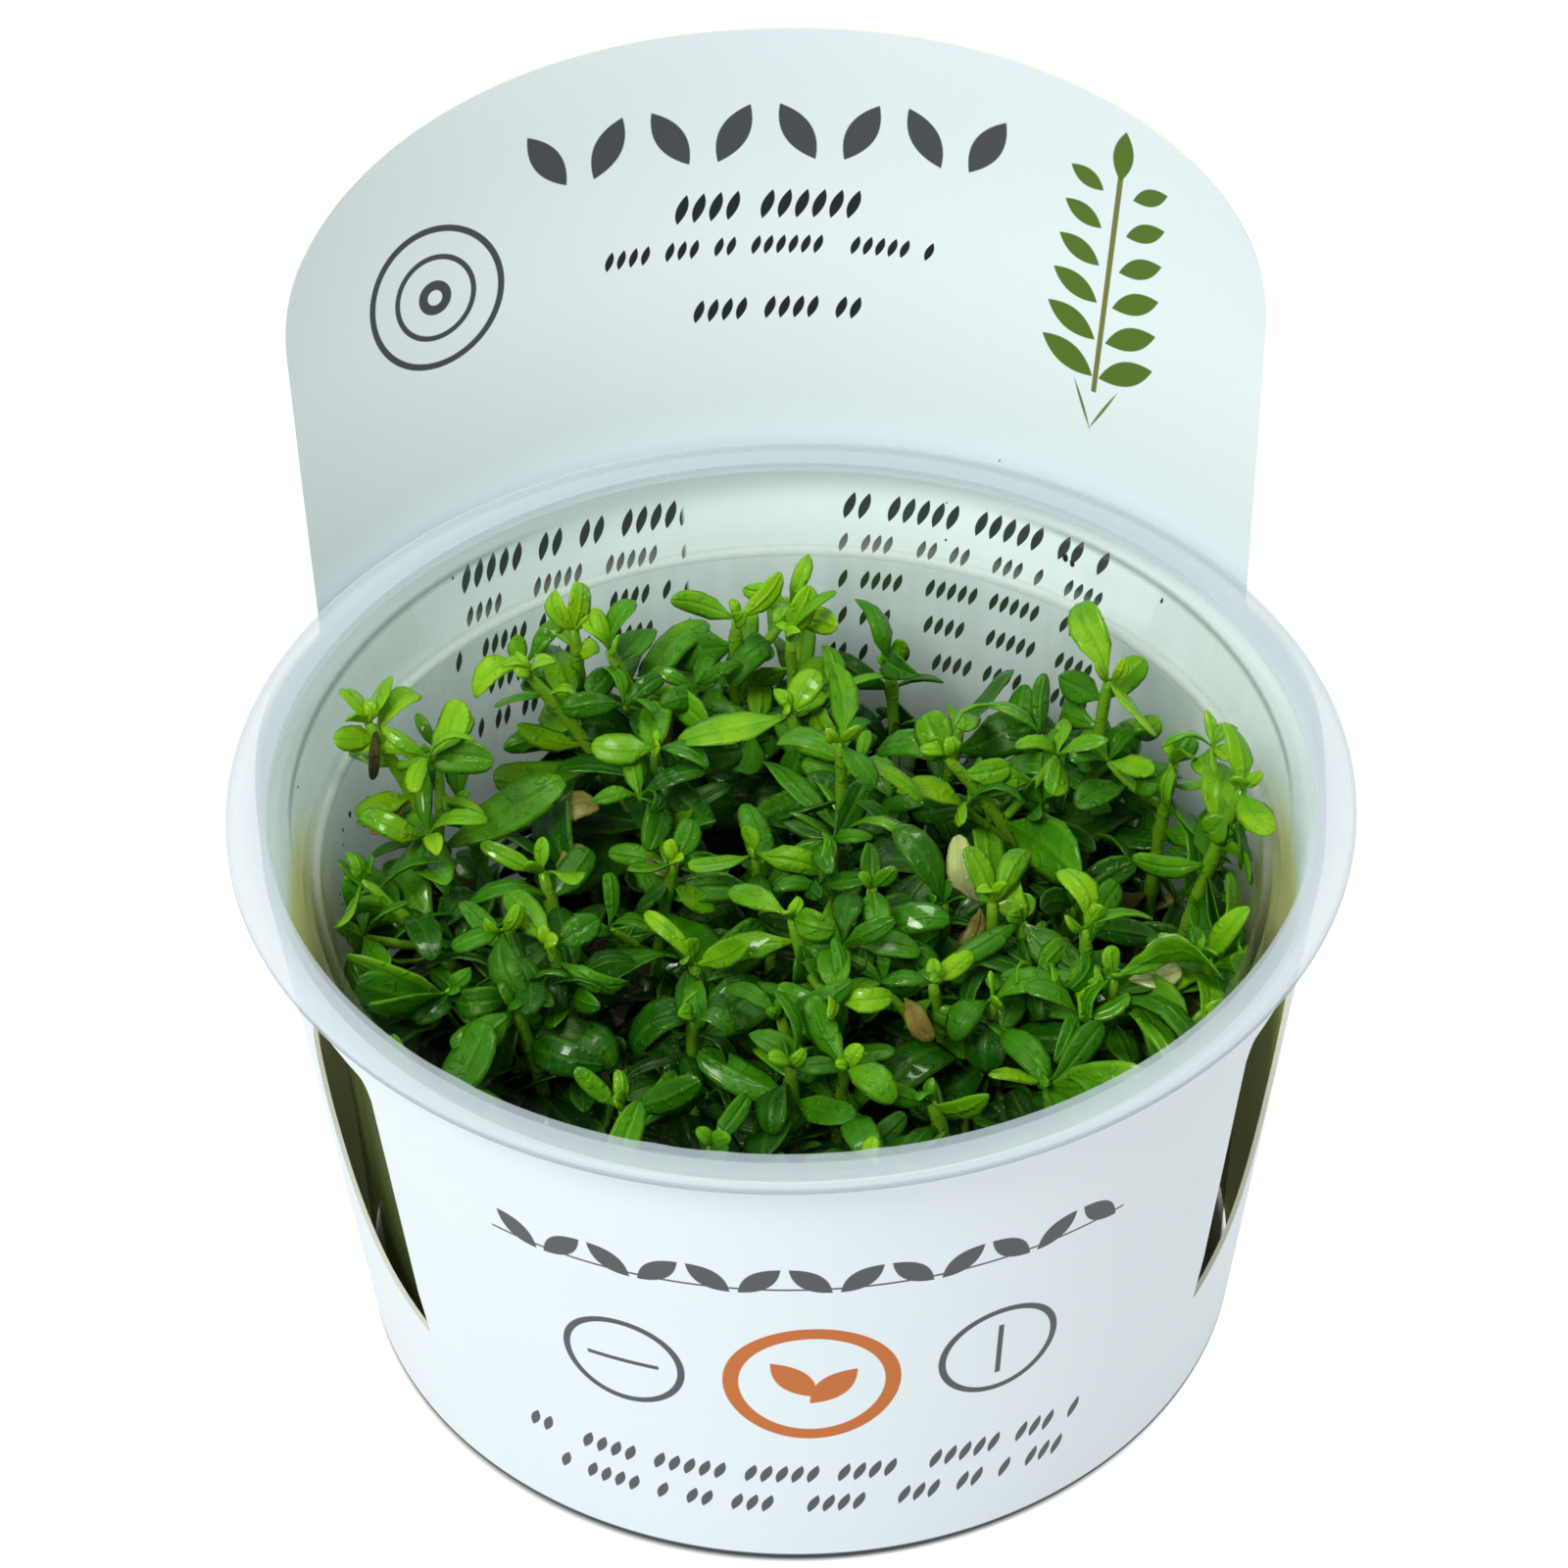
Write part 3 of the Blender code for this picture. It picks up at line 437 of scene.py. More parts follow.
gel = {
    "height": 14.0, "gap": 0.6, "turns": 96, "rings": (0, 12, 24, 34), "footGap": 0.3, "lumpScale": 120,
    "lumps": 0.7, "sink": 0.4, "underside": 24, "topLayer": 1, "rim": 0.5,
    "ramp": ((0.30, (0.05, 0.045, 0.02)), (0.50, (0.26, 0.22, 0.14)), (0.72, (0.52, 0.45, 0.36))),
    "thread": (0.60, 0.55, 0.46), "speck": (0.03, 0.02, 0.012),
    "blotchScale": 160.0, "threadScale": 260.0, "speckScale": 1500.0,
}
crumbs = {
    # picture point, a height to start from and size, in mm
    "marks": ((357, 831, 47, 0.36), (383, 829, 45, 0.38), (371, 842, 45, 0.26), (350, 847, 46, 0.22),
              (375, 814, 47, 0.18), (350, 862, 45, 0.18), (347, 912, 44, 0.18), (304, 803, 55, 0.2),
              (1087, 569, 54, 0.40), (1094, 575, 54, 0.38), (1185, 614, 53, 0.24), (965, 551, 55, 0.18),
              (966, 513, 56, 0.14), (462, 590, 53, 0.2), (1186, 612, 52, 0.18), (1020, 470, 57, 0.12)),
    "seed": 11, "trials": 12, "probe": 0.1, "sink": 0.05, "closeEnough": 0.01, "leastSlope": 0.05,
    "flatness": 0.35, "breadths": (0.6, 0.9), "lengths": (0.9, 1.5),
    "colours": ((0.004, 0.004, 0.003), (0.03, 0.025, 0.012)), "spotScale": 2600.0,
}


def makeGel(material):
    top = gel["height"]
    reach = wallRadius(top * mm) / mm - gel["gap"]
    foot = cup["wall"] + gel["footGap"]
    corners = [(radius, top, 0) for radius in gel["rings"]]
    corners += [(reach, top, 0.8), (reach - 0.6, 4.0, 0), (reach - 1.4, foot, 2.4)]
    corners += [(gel["underside"], foot, 0), (0, foot, 0)]
    shape = turnedShape(rounded(corners), gel["turns"])
    for vert in shape.verts:
        # the top is uneven, but not at its rim
        radius = math.hypot(vert.co.x, vert.co.y)
        if vert.co.z > (top - gel["topLayer"]) * mm and radius < (reach - gel["rim"]) * mm:
            vert.co.z += noise.noise(vert.co * gel["lumpScale"]) * gel["lumps"] * mm - gel["sink"] * mm
    addPiece("rootingGel", shape, [material], "gel", "nutrient_gel")


def gelFinish():
    graph = Graph("rootingGel")
    place = graph.place()
    blotches = graph.noise(place, gel["blotchScale"], 4.0, 0.6)
    threads = graph.make('ShaderNodeTexVoronoi', {"feature": 'DISTANCE_TO_EDGE'},
                         {"Vector": place, "Scale": gel["threadScale"]})
    specks = graph.ease(graph.noise(place, gel["speckScale"], 2.0), 0.60, 0.68)
    colour = graph.make('ShaderNodeValToRGB', {"stops": gel["ramp"]}, {0: blotches})
    colour = graph.mixed(graph.ease(threads, 0.06, 0.0) * 0.5, colour, gel["thread"])
    colour = graph.mixed(specks, colour, gel["speck"])
    shader = graph.make('ShaderNodeBsdfPrincipled', {}, {
        "Base Color": colour, "Roughness": 0.18 + blotches * 0.3, "IOR": 1.34,
        "Normal": graph.bump(blotches + threads, 0.5, 0.0006)})
    return graph.finish(shader)


def makeCrumbs(material):
    shape = bmesh.new()
    rng = random.Random(crumbs["seed"])
    for across, down, height, size in crumbs["marks"]:
        spot = seenAt(across, down, height * mm)
        for trial in range(crumbs["trials"]):
            # slide the mark along its sight line until it lies on the wall
            reach = math.hypot(spot.x, spot.y)
            miss = wallRadius(spot.z) - crumbs["sink"] * mm - reach
            if abs(miss) < crumbs["closeEnough"] * mm:
                break
            beyond = seenAt(across, down, spot.z - crumbs["probe"] * mm)
            slope = (math.hypot(beyond.x, beyond.y) - reach) / (crumbs["probe"] * mm)
            if abs(slope) < crumbs["leastSlope"]:
                break
            spot = seenAt(across, down, spot.z - miss / slope)
        made = bmesh.ops.create_icosphere(shape, subdivisions=1, radius=size * mm)
        inward = Vector((-spot.x, -spot.y, 0)).normalized()
        turn = inward.to_track_quat('X', 'Z').to_matrix().to_4x4()
        breadth, length = rng.uniform(*crumbs["breadths"]), rng.uniform(*crumbs["lengths"])
        squeeze = Matrix.Diagonal((crumbs["flatness"], breadth, length, 1))
        bmesh.ops.transform(shape, matrix=Matrix.Translation(spot) @ turn @ squeeze, verts=made["verts"])
    smoothShape(shape)
    addPiece("wallCrumbs", shape, [material], "gel")


def crumbFinish():
    graph = Graph("wallCrumbs")
    spots = graph.noise(graph.place(), crumbs["spotScale"], 2.0)
    colour = graph.mixed(spots, *crumbs["colours"])
    return graph.finish(graph.make('ShaderNodeBsdfPrincipled', {}, {"Base Color": colour, "Roughness": 0.6}))


sleeve = {
    # sizes in mm; the window's outline is bearing in degrees from the front and height
    "footRadius": 41.0, "foot": 1.0, "top": 54.5, "thickness": 0.45, "offset": 0.2,
    "frontFlare": 0.113, "backFlare": 0.176, "flareTurns": (math.radians(84), math.radians(117)),
    "sides": 288, "tabTop": 98.6, "tabShoulder": 81.4, "tabHalfWidth": 51.2, "tabRoundness": 2.35,
    "tabSteps": 28, "cutReach": 80, "cutMargin": 20, "tabCut": (45, 50), "frontCut": (-35, 45),
    "windowCut": (46, 9), "leastLean": 0.6, "sharpFrom": math.radians(35), "merge": 0.002,
    "windowBearing": 62.5, "frontTwist": 0.9, "windowOutline": (
        (53.5, 15.5), (54.2, 21), (54.4, 46.5), (55.2, 48.3), (57.0, 48.8), (64.5, 48.8), (67.0, 47.5),
        (69.3, 43), (70.8, 37), (71.0, 32), (69.8, 27), (67.5, 23), (63.5, 19.3), (58.5, 17)),
}


def smoothStep(low, high, value):
    share = min(max((value - low) / (high - low), 0.0), 1.0)
    return share * share * (3 - 2 * share)


def sleeveRadius(bearing, height):
    # outer radius of the card in mm, with the bearing measured from the front
    share = smoothStep(*sleeve["flareTurns"], abs(bearing))
    flare = sleeve["frontFlare"] + (sleeve["backFlare"] - sleeve["frontFlare"]) * share
    return sleeve["footRadius"] + flare * height


def outlinePrism(name, points, reach, placement):
    # closed prism on a flat outline in mm, drawn as a curve and made a mesh
    curve = bpy.data.curves.new(name, 'CURVE')
    curve.dimensions = '2D'
    curve.fill_mode = 'BOTH'
    curve.extrude = reach * mm
    line = curve.splines.new('POLY')
    line.points.add(len(points) - 1)
    for point, (across, height) in zip(line.points, points):
        point.co = (across * mm, height * mm, 0, 1)
    line.use_cyclic_u = True
    flat = bpy.data.objects.new(name + "Outline", curve)
    bpy.context.scene.collection.objects.link(flat)
    bpy.context.view_layer.update()
    mesh = bpy.data.meshes.new_from_object(flat.evaluated_get(bpy.context.evaluated_depsgraph_get()))
    shape = bmesh.new()
    shape.from_mesh(mesh)
    bmesh.ops.remove_doubles(shape, verts=shape.verts, dist=sleeve["merge"] / 2 * mm)
    bmesh.ops.recalc_face_normals(shape, faces=shape.faces)
    shape.transform(placement)
    shape.to_mesh(mesh)
    shape.free()
    prism = bpy.data.objects.new(name, mesh)
    bpy.context.scene.collection.objects.link(prism)
    bpy.data.objects.remove(flat)
    return prism


def tabEdge():
    # the tab's right edge from the flange to the middle of its top, as across and height in mm
    points = []
    for height in (sleeve["top"], cup["rimHeight"], 0.5 * (cup["rimHeight"] + sleeve["tabShoulder"])):
        points.append((sleeve["tabHalfWidth"], height))
    power = 2 / sleeve["tabRoundness"]
    for step in range(sleeve["tabSteps"] + 1):
        angle = math.radians(90) * step / sleeve["tabSteps"]
        across = sleeve["tabHalfWidth"] * max(math.cos(angle), 0) ** power
        rise = (sleeve["tabTop"] - sleeve["tabShoulder"]) * math.sin(angle) ** power
        points.append((across, sleeve["tabShoulder"] + rise))
    flattened = []
    for across, height in points:
        radius = sleeveRadius(math.pi, height)
        flattened.append((radius * math.sin(across / radius), height))
    return flattened


def finerOutline(corners, steps=3):
    # the window's outline with its free side rounded off between the given points
    points = list(corners[:2])
    ring = corners[2:] + corners[:1]
    for index in range(len(ring) - 1):
        before = Vector(ring[max(index - 1, 0)])
        here = Vector(ring[index])
        after = Vector(ring[index + 1])
        beyond = Vector(ring[min(index + 2, len(ring) - 1)])
        for step in range(steps):
            share = step / steps
            blend = here + (after - before) * 0.5 * share
            blend += (before - here * 2.5 + after * 2 - beyond * 0.5) * share ** 2
            blend += (beyond * 0.5 - after * 1.5 + here * 1.5 - before * 0.5) * share ** 3
            points.append(tuple(blend))
    return points


def sleeveBlank():
    # the flared card before it is cut, with its thickness
    shape = bmesh.new()
    depth = (sleeve["tabTop"] + 2 - sleeve["foot"]) * mm
    bmesh.ops.create_cone(shape, cap_ends=False, segments=sleeve["sides"], radius1=sleeve["footRadius"] * mm,
                          radius2=sleeve["footRadius"] * mm, depth=depth)
    for vert in shape.verts:
        vert.co.z += depth / 2 + sleeve["foot"] * mm
        bearing = math.atan2(vert.co.x, -vert.co.y)
        radius = sleeveRadius(bearing, vert.co.z / mm) * mm
        vert.co.x = radius * math.sin(bearing) + sleeve["offset"] * mm
        vert.co.y = -radius * math.cos(bearing)
    bmesh.ops.recalc_face_normals(shape, faces=shape.faces)
    mesh = bpy.data.meshes.new("sleeveBlank")
    shape.to_mesh(mesh)
    shape.free()
    blank = bpy.data.objects.new("sleeveBlank", mesh)
    bpy.context.scene.collection.objects.link(blank)
    card = blank.modifiers.new("card", 'SOLIDIFY')
    card.thickness = sleeve["thickness"] * mm
    card.offset = -1
    return blank


def windowOutline(side):
    # seen square on from outside, so its bearings become distances across
    outline = []
    for bearing, height in finerOutline(sleeve["windowOutline"]):
        turned = math.radians(bearing - sleeve["windowBearing"])
        outline.append((side * sleeveRadius(math.radians(bearing), height) * math.sin(turned), height))
    return outline


def sleeveCuts():
    # what is cut off round the tab and over the front, and the two windows
    half = tabEdge()
    wide, over, top = sleeve["cutReach"], sleeve["tabTop"] + sleeve["cutMargin"], sleeve["top"]
    above = [(wide, top), (wide, over), (-wide, over), (-wide, top)]
    arch = [(-across, height) for across, height in half] + list(reversed(half[:-1]))
    upright = Matrix.Rotation(math.radians(90), 4, 'X')
    middle, reach = sleeve["tabCut"]
    behind = Matrix.Translation((sleeve["offset"] * mm, middle * mm, 0)) @ upright
    cuts = [outlinePrism("tabCut", above + arch, reach, behind)]
    middle, reach = sleeve["frontCut"]
    front = [(-wide, top), (wide, top), (wide, over), (-wide, over)]
    cuts.append(outlinePrism("frontCut", front, reach, Matrix.Translation((0, middle * mm, 0)) @ upright))
    middle, reach = sleeve["windowCut"]
    for side in (-1, 1):
        facing = math.radians(side * sleeve["windowBearing"] + sleeve["frontTwist"])
        outward = Vector((math.sin(facing), -math.cos(facing), 0)) * middle * mm
        placement = Matrix.Translation(outward + Vector((sleeve["offset"] * mm, 0, 0)))
        placement = placement @ Matrix.Rotation(facing, 4, 'Z') @ upright
        cuts.append(outlinePrism("windowCut", windowOutline(side), reach, placement))
    return cuts


def makeSleeve(materials):
    blank = sleeveBlank()
    cuts = sleeveCuts()
    for cutter in cuts:
        cut = blank.modifiers.new(cutter.name, 'BOOLEAN')
        cut.operation = 'DIFFERENCE'
        cut.solver = 'EXACT'
        cut.object = cutter
    bpy.context.view_layer.update()
    mesh = bpy.data.meshes.new_from_object(blank.evaluated_get(bpy.context.evaluated_depsgraph_get()))
    for item in cuts + [blank]:
        bpy.data.objects.remove(item)
    shape = bmesh.new()
    shape.from_mesh(mesh)
    bmesh.ops.remove_doubles(shape, verts=shape.verts, dist=sleeve["merge"] * mm)
    bmesh.ops.dissolve_degenerate(shape, edges=shape.edges, dist=sleeve["merge"] * mm)
    bmesh.ops.triangulate(shape, faces=[face for face in shape.faces if len(face.verts) > 4])
    for face in shape.faces:
        # outside, inside or cut edge
        middle = face.calc_center_median()
        lean = face.normal.dot(Vector((middle.x, middle.y, 0)).normalized())
        face.material_index = 0 if lean > sleeve["leastLean"] else 1 if lean < -sleeve["leastLean"] else 2
    smoothShape(shape)
    mesh.materials.clear()
    shape.to_mesh(mesh)
    shape.free()
    mesh.set_sharp_from_angle(angle=sleeve["sharpFrom"])
    addMesh("cardSleeve", mesh, materials, "card", "card_sleeve")


# print motifs: masks on across and up, which are metres along the card; their own sizes are in mm
motifs = {
    "lineEdge": 0.00008, "leafEdge": 0.0001, "seedEdge": 0.00006, "seedSlant": 0.35, "seedWidth": 0.36,
    "cellShift": 400.5,
}


def barMask(graph, across, up, middle, half):
    wide = graph.clamp((half[0] * mm - abs(across - middle[0] * mm)) / motifs["lineEdge"])
    tall = graph.clamp((half[1] * mm - abs(up - middle[1] * mm)) / motifs["lineEdge"])
    return wide * tall


def ringMask(graph, across, up, middle, radius, line):
    reach = ((across - middle[0] * mm) ** 2.0 + (up - middle[1] * mm) ** 2.0) ** 0.5
    return graph.clamp((line * mm - abs(reach - radius * mm)) / motifs["lineEdge"])


def leafMask(graph, across, up, middle, length, width, turn):
    angle = math.radians(turn)
    right = across - middle[0] * mm
    over = up - middle[1] * mm
    along = right * math.cos(angle) + over * math.sin(angle)
    aside = over * math.cos(angle) - right * math.sin(angle)
    share = along / (length * 0.5 * mm)
    return graph.clamp((width * 0.5 * mm * (1 - share * share) - abs(aside)) / motifs["leafEdge"])


def seedRow(graph, across, up, height, reach, line, step, groups):
    # slanted seeds in groups along a row; groups holds how many places and how many of them are filled
    cell = graph.math('FLOOR', across / (step * mm) + 0.5)
    rise = up - height * mm
    share = rise / (line * mm)
    aside = abs(across - cell * (step * mm) - rise * motifs["seedSlant"])
    width = (1 - share * share) * (step * motifs["seedWidth"] * mm)
    row = graph.clamp((width - aside) / motifs["seedEdge"]) * graph.math('LESS_THAN', abs(cell), reach / step)
    for places, filled in groups:
        turn = graph.math('FRACT', (cell + motifs["cellShift"]) / places)
        row = row * graph.math('LESS_THAN', turn, filled / places)
    return row


def drawn(graph, across, up, mask, entries):
    return [mask(graph, across, up, *entry) for entry in entries]


def unionOf(graph, masks):
    total = masks[0]
    for mask in masks[1:]:
        total = graph.math('MAXIMUM', total, mask)
    return total


def cardShader(graph, colour, place, glow=(0.0, 0.0, 0.0)):
    grain = graph.noise(place, 2400.0, 3.0, 0.6)
    clouds = graph.noise(place, 60.0, 2.0)
    shaded = graph.mixed(clouds * 0.16, colour, graph.mixed(1.0, colour, (0.84, 0.90, 0.95), 'MULTIPLY'))
    return graph.finish(graph.make('ShaderNodeBsdfPrincipled', {}, {
        "Base Color": shaded, "Roughness": 0.46 + clouds * 0.12, "Specular IOR Level": 0.25,
        "Emission Color": glow, "Emission Strength": cardPrint["glowStrength"],
        "Normal": graph.bump(grain, 0.10, 0.0002)}))


cardPrint = {
    # colours of the card and its print, then the strength of a painted glow for daylight
    "grey": (0.065, 0.075, 0.088), "dark": (0.014, 0.018, 0.022), "orange": (0.48, 0.13, 0.018),
    # foot is the colour of a painted shadow along the card's bottom edge
    "leaf": (0.10, 0.18, 0.022), "stem": (0.20, 0.20, 0.05), "foot": (0.01, 0.03, 0.05),
    # the inside is painted lighter than the outside for the light that reaches it
    "outside": (0.68, 0.76, 0.80), "inside": (0.83, 0.92, 0.96), "through": (0.86, 0.98, 0.90),
    "shaded": (0.80, 0.78, 0.34), "cut": ((0.74, 0.75, 0.66), (0.90, 0.91, 0.80)),
    "glowStrength": 0.30, "tabGlow": 0.22,
}


# the front's print in mm along and up the card, each motif as its mask takes it
frontPrint = {
    "unrollRadius": 45, "front": (-5, -8), "footShadowLine": (1.55, 1.25),
    "garland": (13, 4.3, 41.5), "garlandLeaf": (5.0, 2.3),
    "garlandTurns": (138, 42), "garlandStem": ((0, 40.4), (28.5, 0.16)),
    "rings": (((-17, 27.5), 5.4, 0.38), ((17, 27.5), 5.4, 0.38)),
    "bars": (((-17, 27.5), (3.4, 0.3)), ((17, 27.5), (0.3, 3.4))),
    "badgeRing": ((0, 27.0), 7.2, 0.75),
    "badgeLeaves": (((-1.6, 27.6), 6.4, 3.0, 130), ((1.9, 26.6), 6.4, 3.0, 48)),
    "rows": ((13.7, 28, 1.35, 1.45, ((6, 5), (11, 10))), (9.2, 25, 1.35, 1.45, ((7, 6), (5, 4)))),
}


def cardOutside():
    graph = Graph("cardOutside")
    place = graph.place()
    x, y, z = graph.parts(place)
    bearing = graph.math('ARCTAN2', x, 0 - y)
    across = bearing * (frontPrint["unrollRadius"] * mm)
    front = graph.fade(y, frontPrint["front"])
    garland = []
    count, step, height = frontPrint["garland"]
    for index in range(count):
        middle = ((index - (count - 1) / 2) * step, height)
        turn = frontPrint["garlandTurns"][index % 2]
        garland.append(leafMask(graph, across, z, middle, *frontPrint["garlandLeaf"], turn))
    garland.append(barMask(graph, across, z, *frontPrint["garlandStem"]))
    rings = drawn(graph, across, z, ringMask, frontPrint["rings"])
    rings += drawn(graph, across, z, barMask, frontPrint["bars"])
    rows = drawn(graph, across, z, seedRow, frontPrint["rows"])
    badge = [ringMask(graph, across, z, *frontPrint["badgeRing"])]
    badge += drawn(graph, across, z, leafMask, frontPrint["badgeLeaves"])
    greys = [unionOf(graph, group) for group in (garland, rows, rings)]
    colour = graph.mixed(unionOf(graph, greys) * front, cardPrint["outside"], cardPrint["grey"])
    colour = graph.mixed(unionOf(graph, badge) * front, colour, cardPrint["orange"])
    # a painted shadow line along the card's bottom edge
    colour = graph.mixed(graph.fade(z, frontPrint["footShadowLine"]), colour, cardPrint["foot"])
    return cardShader(graph, colour, place)


# the back's print on the inside of the card, in the same way
backPrint = {
    "unrollRadius": 51, "back": (5, 8), "gapShift": 2, "gap": (7, 7.5),
    "title": (8, 5.4, 88.5), "titleLeaf": (6.4, 2.6), "titleTurns": (118, 62),
    "emblem": (((-31, 79), 6.6, 0.35), ((-31, 79), 3.9, 0.3), ((-31, 79), 1.2, 0.5)),
    "rows": ((81.3, 9, 1.5, 1.5, ((40, 39),)), (77.2, 15, 1.0, 1.1, ((11, 10), (7, 6))),
             (70.8, 8, 1.2, 1.3, ((5, 4),))),
    "sprigStem": ((31, 78), (0.3, 11)), "sprigRoots": (((30, 65.5), 6, 0.4, 115), ((32.2, 65.5), 6, 0.4, 62)),
    "sprigPairs": 6, "sprigAt": (31, 3.0, 70, 3.6), "sprigLeaf": (6.2, 0.5, 2.5, 0.15), "sprigTurn": 62,
    "sprigTip": ((31, 91), 5.0, 2.0, 90),
    "lowHeights": (50.0, 46.0, 42.0, 38.0, 34.0), "lowReach": 36, "lowFirst": (1.5, 1.5),
    "lowRest": (1.1, 1.15),
    "shadeAside": (28, 33), "shadeForwards": (20, 9), "shadeBelow": (45, 40),
    "dayBelow": (57, 50), "dayFades": (46, 26), "crest": (72, 96), "tab": (56, 66),
    "crestShade": (0.62, 0.66, 0.72),
}


def cardInside():
    graph = Graph("cardInside")
    place = graph.place()
    x, y, z = graph.parts(place)
    bearing = graph.math('ARCTAN2', x, y)
    across = bearing * (backPrint["unrollRadius"] * mm)
    back = graph.fade(y, backPrint["back"])
    title = []
    count, step, height = backPrint["title"]
    for index in range(count):
        middle = ((index - (count - 1) / 2) * step, height)
        turn = backPrint["titleTurns"][index % 2]
        title.append(leafMask(graph, across, z, middle, *backPrint["titleLeaf"], turn))
    title += drawn(graph, across, z, ringMask, backPrint["emblem"])
    rows = drawn(graph, across, z, seedRow, backPrint["rows"])
    stem = [barMask(graph, across, z, *backPrint["sprigStem"])]
    stem += drawn(graph, across, z, leafMask, backPrint["sprigRoots"])
    leaves = []
    middle, aside, lowest, rise = backPrint["sprigAt"]
    length, shorter, width, narrower = backPrint["sprigLeaf"]
    for index in range(backPrint["sprigPairs"]):
        for side in (-1, 1):
            leaves.append(leafMask(graph, across, z, (middle + side * aside, lowest + index * rise),
                                   length - index * shorter, width - index * narrower,
                                   90 - side * backPrint["sprigTurn"]))
    leaves.append(leafMask(graph, across, z, *backPrint["sprigTip"]))
    low = []
    for index, height in enumerate(backPrint["lowHeights"]):
        line, step = backPrint["lowRest"] if index else backPrint["lowFirst"]
        groups = ((6 + index % 2, 5), (9 - index, 8 - index))
        low.append(seedRow(graph, across, z, height, backPrint["lowReach"], line, step, groups))
    gap = graph.fade(abs(across + backPrint["gapShift"] * mm), backPrint["gap"])
    colour = graph.mixed(unionOf(graph, title) * back, cardPrint["inside"], cardPrint["grey"])
    colour = graph.mixed(unionOf(graph, rows) * back, colour, cardPrint["dark"])
    colour = graph.mixed(unionOf(graph, low) * gap * back, colour, cardPrint["dark"])
    colour = graph.mixed(unionOf(graph, stem) * back, colour, cardPrint["stem"])
    colour = graph.mixed(unionOf(graph, leaves) * back, colour, cardPrint["leaf"])
    # the card's inner side near the windows lies in the green shade of the stems
    shade = graph.fade(abs(x), backPrint["shadeAside"]) * graph.fade(y, backPrint["shadeForwards"])
    colour = graph.mixed(shade * graph.fade(z, backPrint["shadeBelow"]), colour, cardPrint["shaded"])
    # a painted glow for daylight that comes through the card below the rim, and less of it in the tab
    glow = graph.mixed(1.0, colour, cardPrint["through"], 'MULTIPLY')
    crest = graph.fade(z, backPrint["crest"])
    strength = graph.fade(z, backPrint["dayBelow"]) * (1 - graph.fade(z, backPrint["dayFades"]) * 0.92)
    strength = strength + graph.fade(z, backPrint["tab"]) * (1 - crest) * cardPrint["tabGlow"]
    # painted shade darkens the top of the tab
    colour = graph.mixed(crest * 0.22, colour, graph.mixed(1.0, colour, backPrint["crestShade"], 'MULTIPLY'))
    return cardShader(graph, colour, place, graph.mixed(strength, (0.0, 0.0, 0.0), glow))


def cardEdge():
    graph = Graph("cardEdge")
    place = graph.place()
    fibres = graph.noise(place, 3000.0, 2.0)
    return cardShader(graph, graph.mixed(fibres, *cardPrint["cut"]), place)


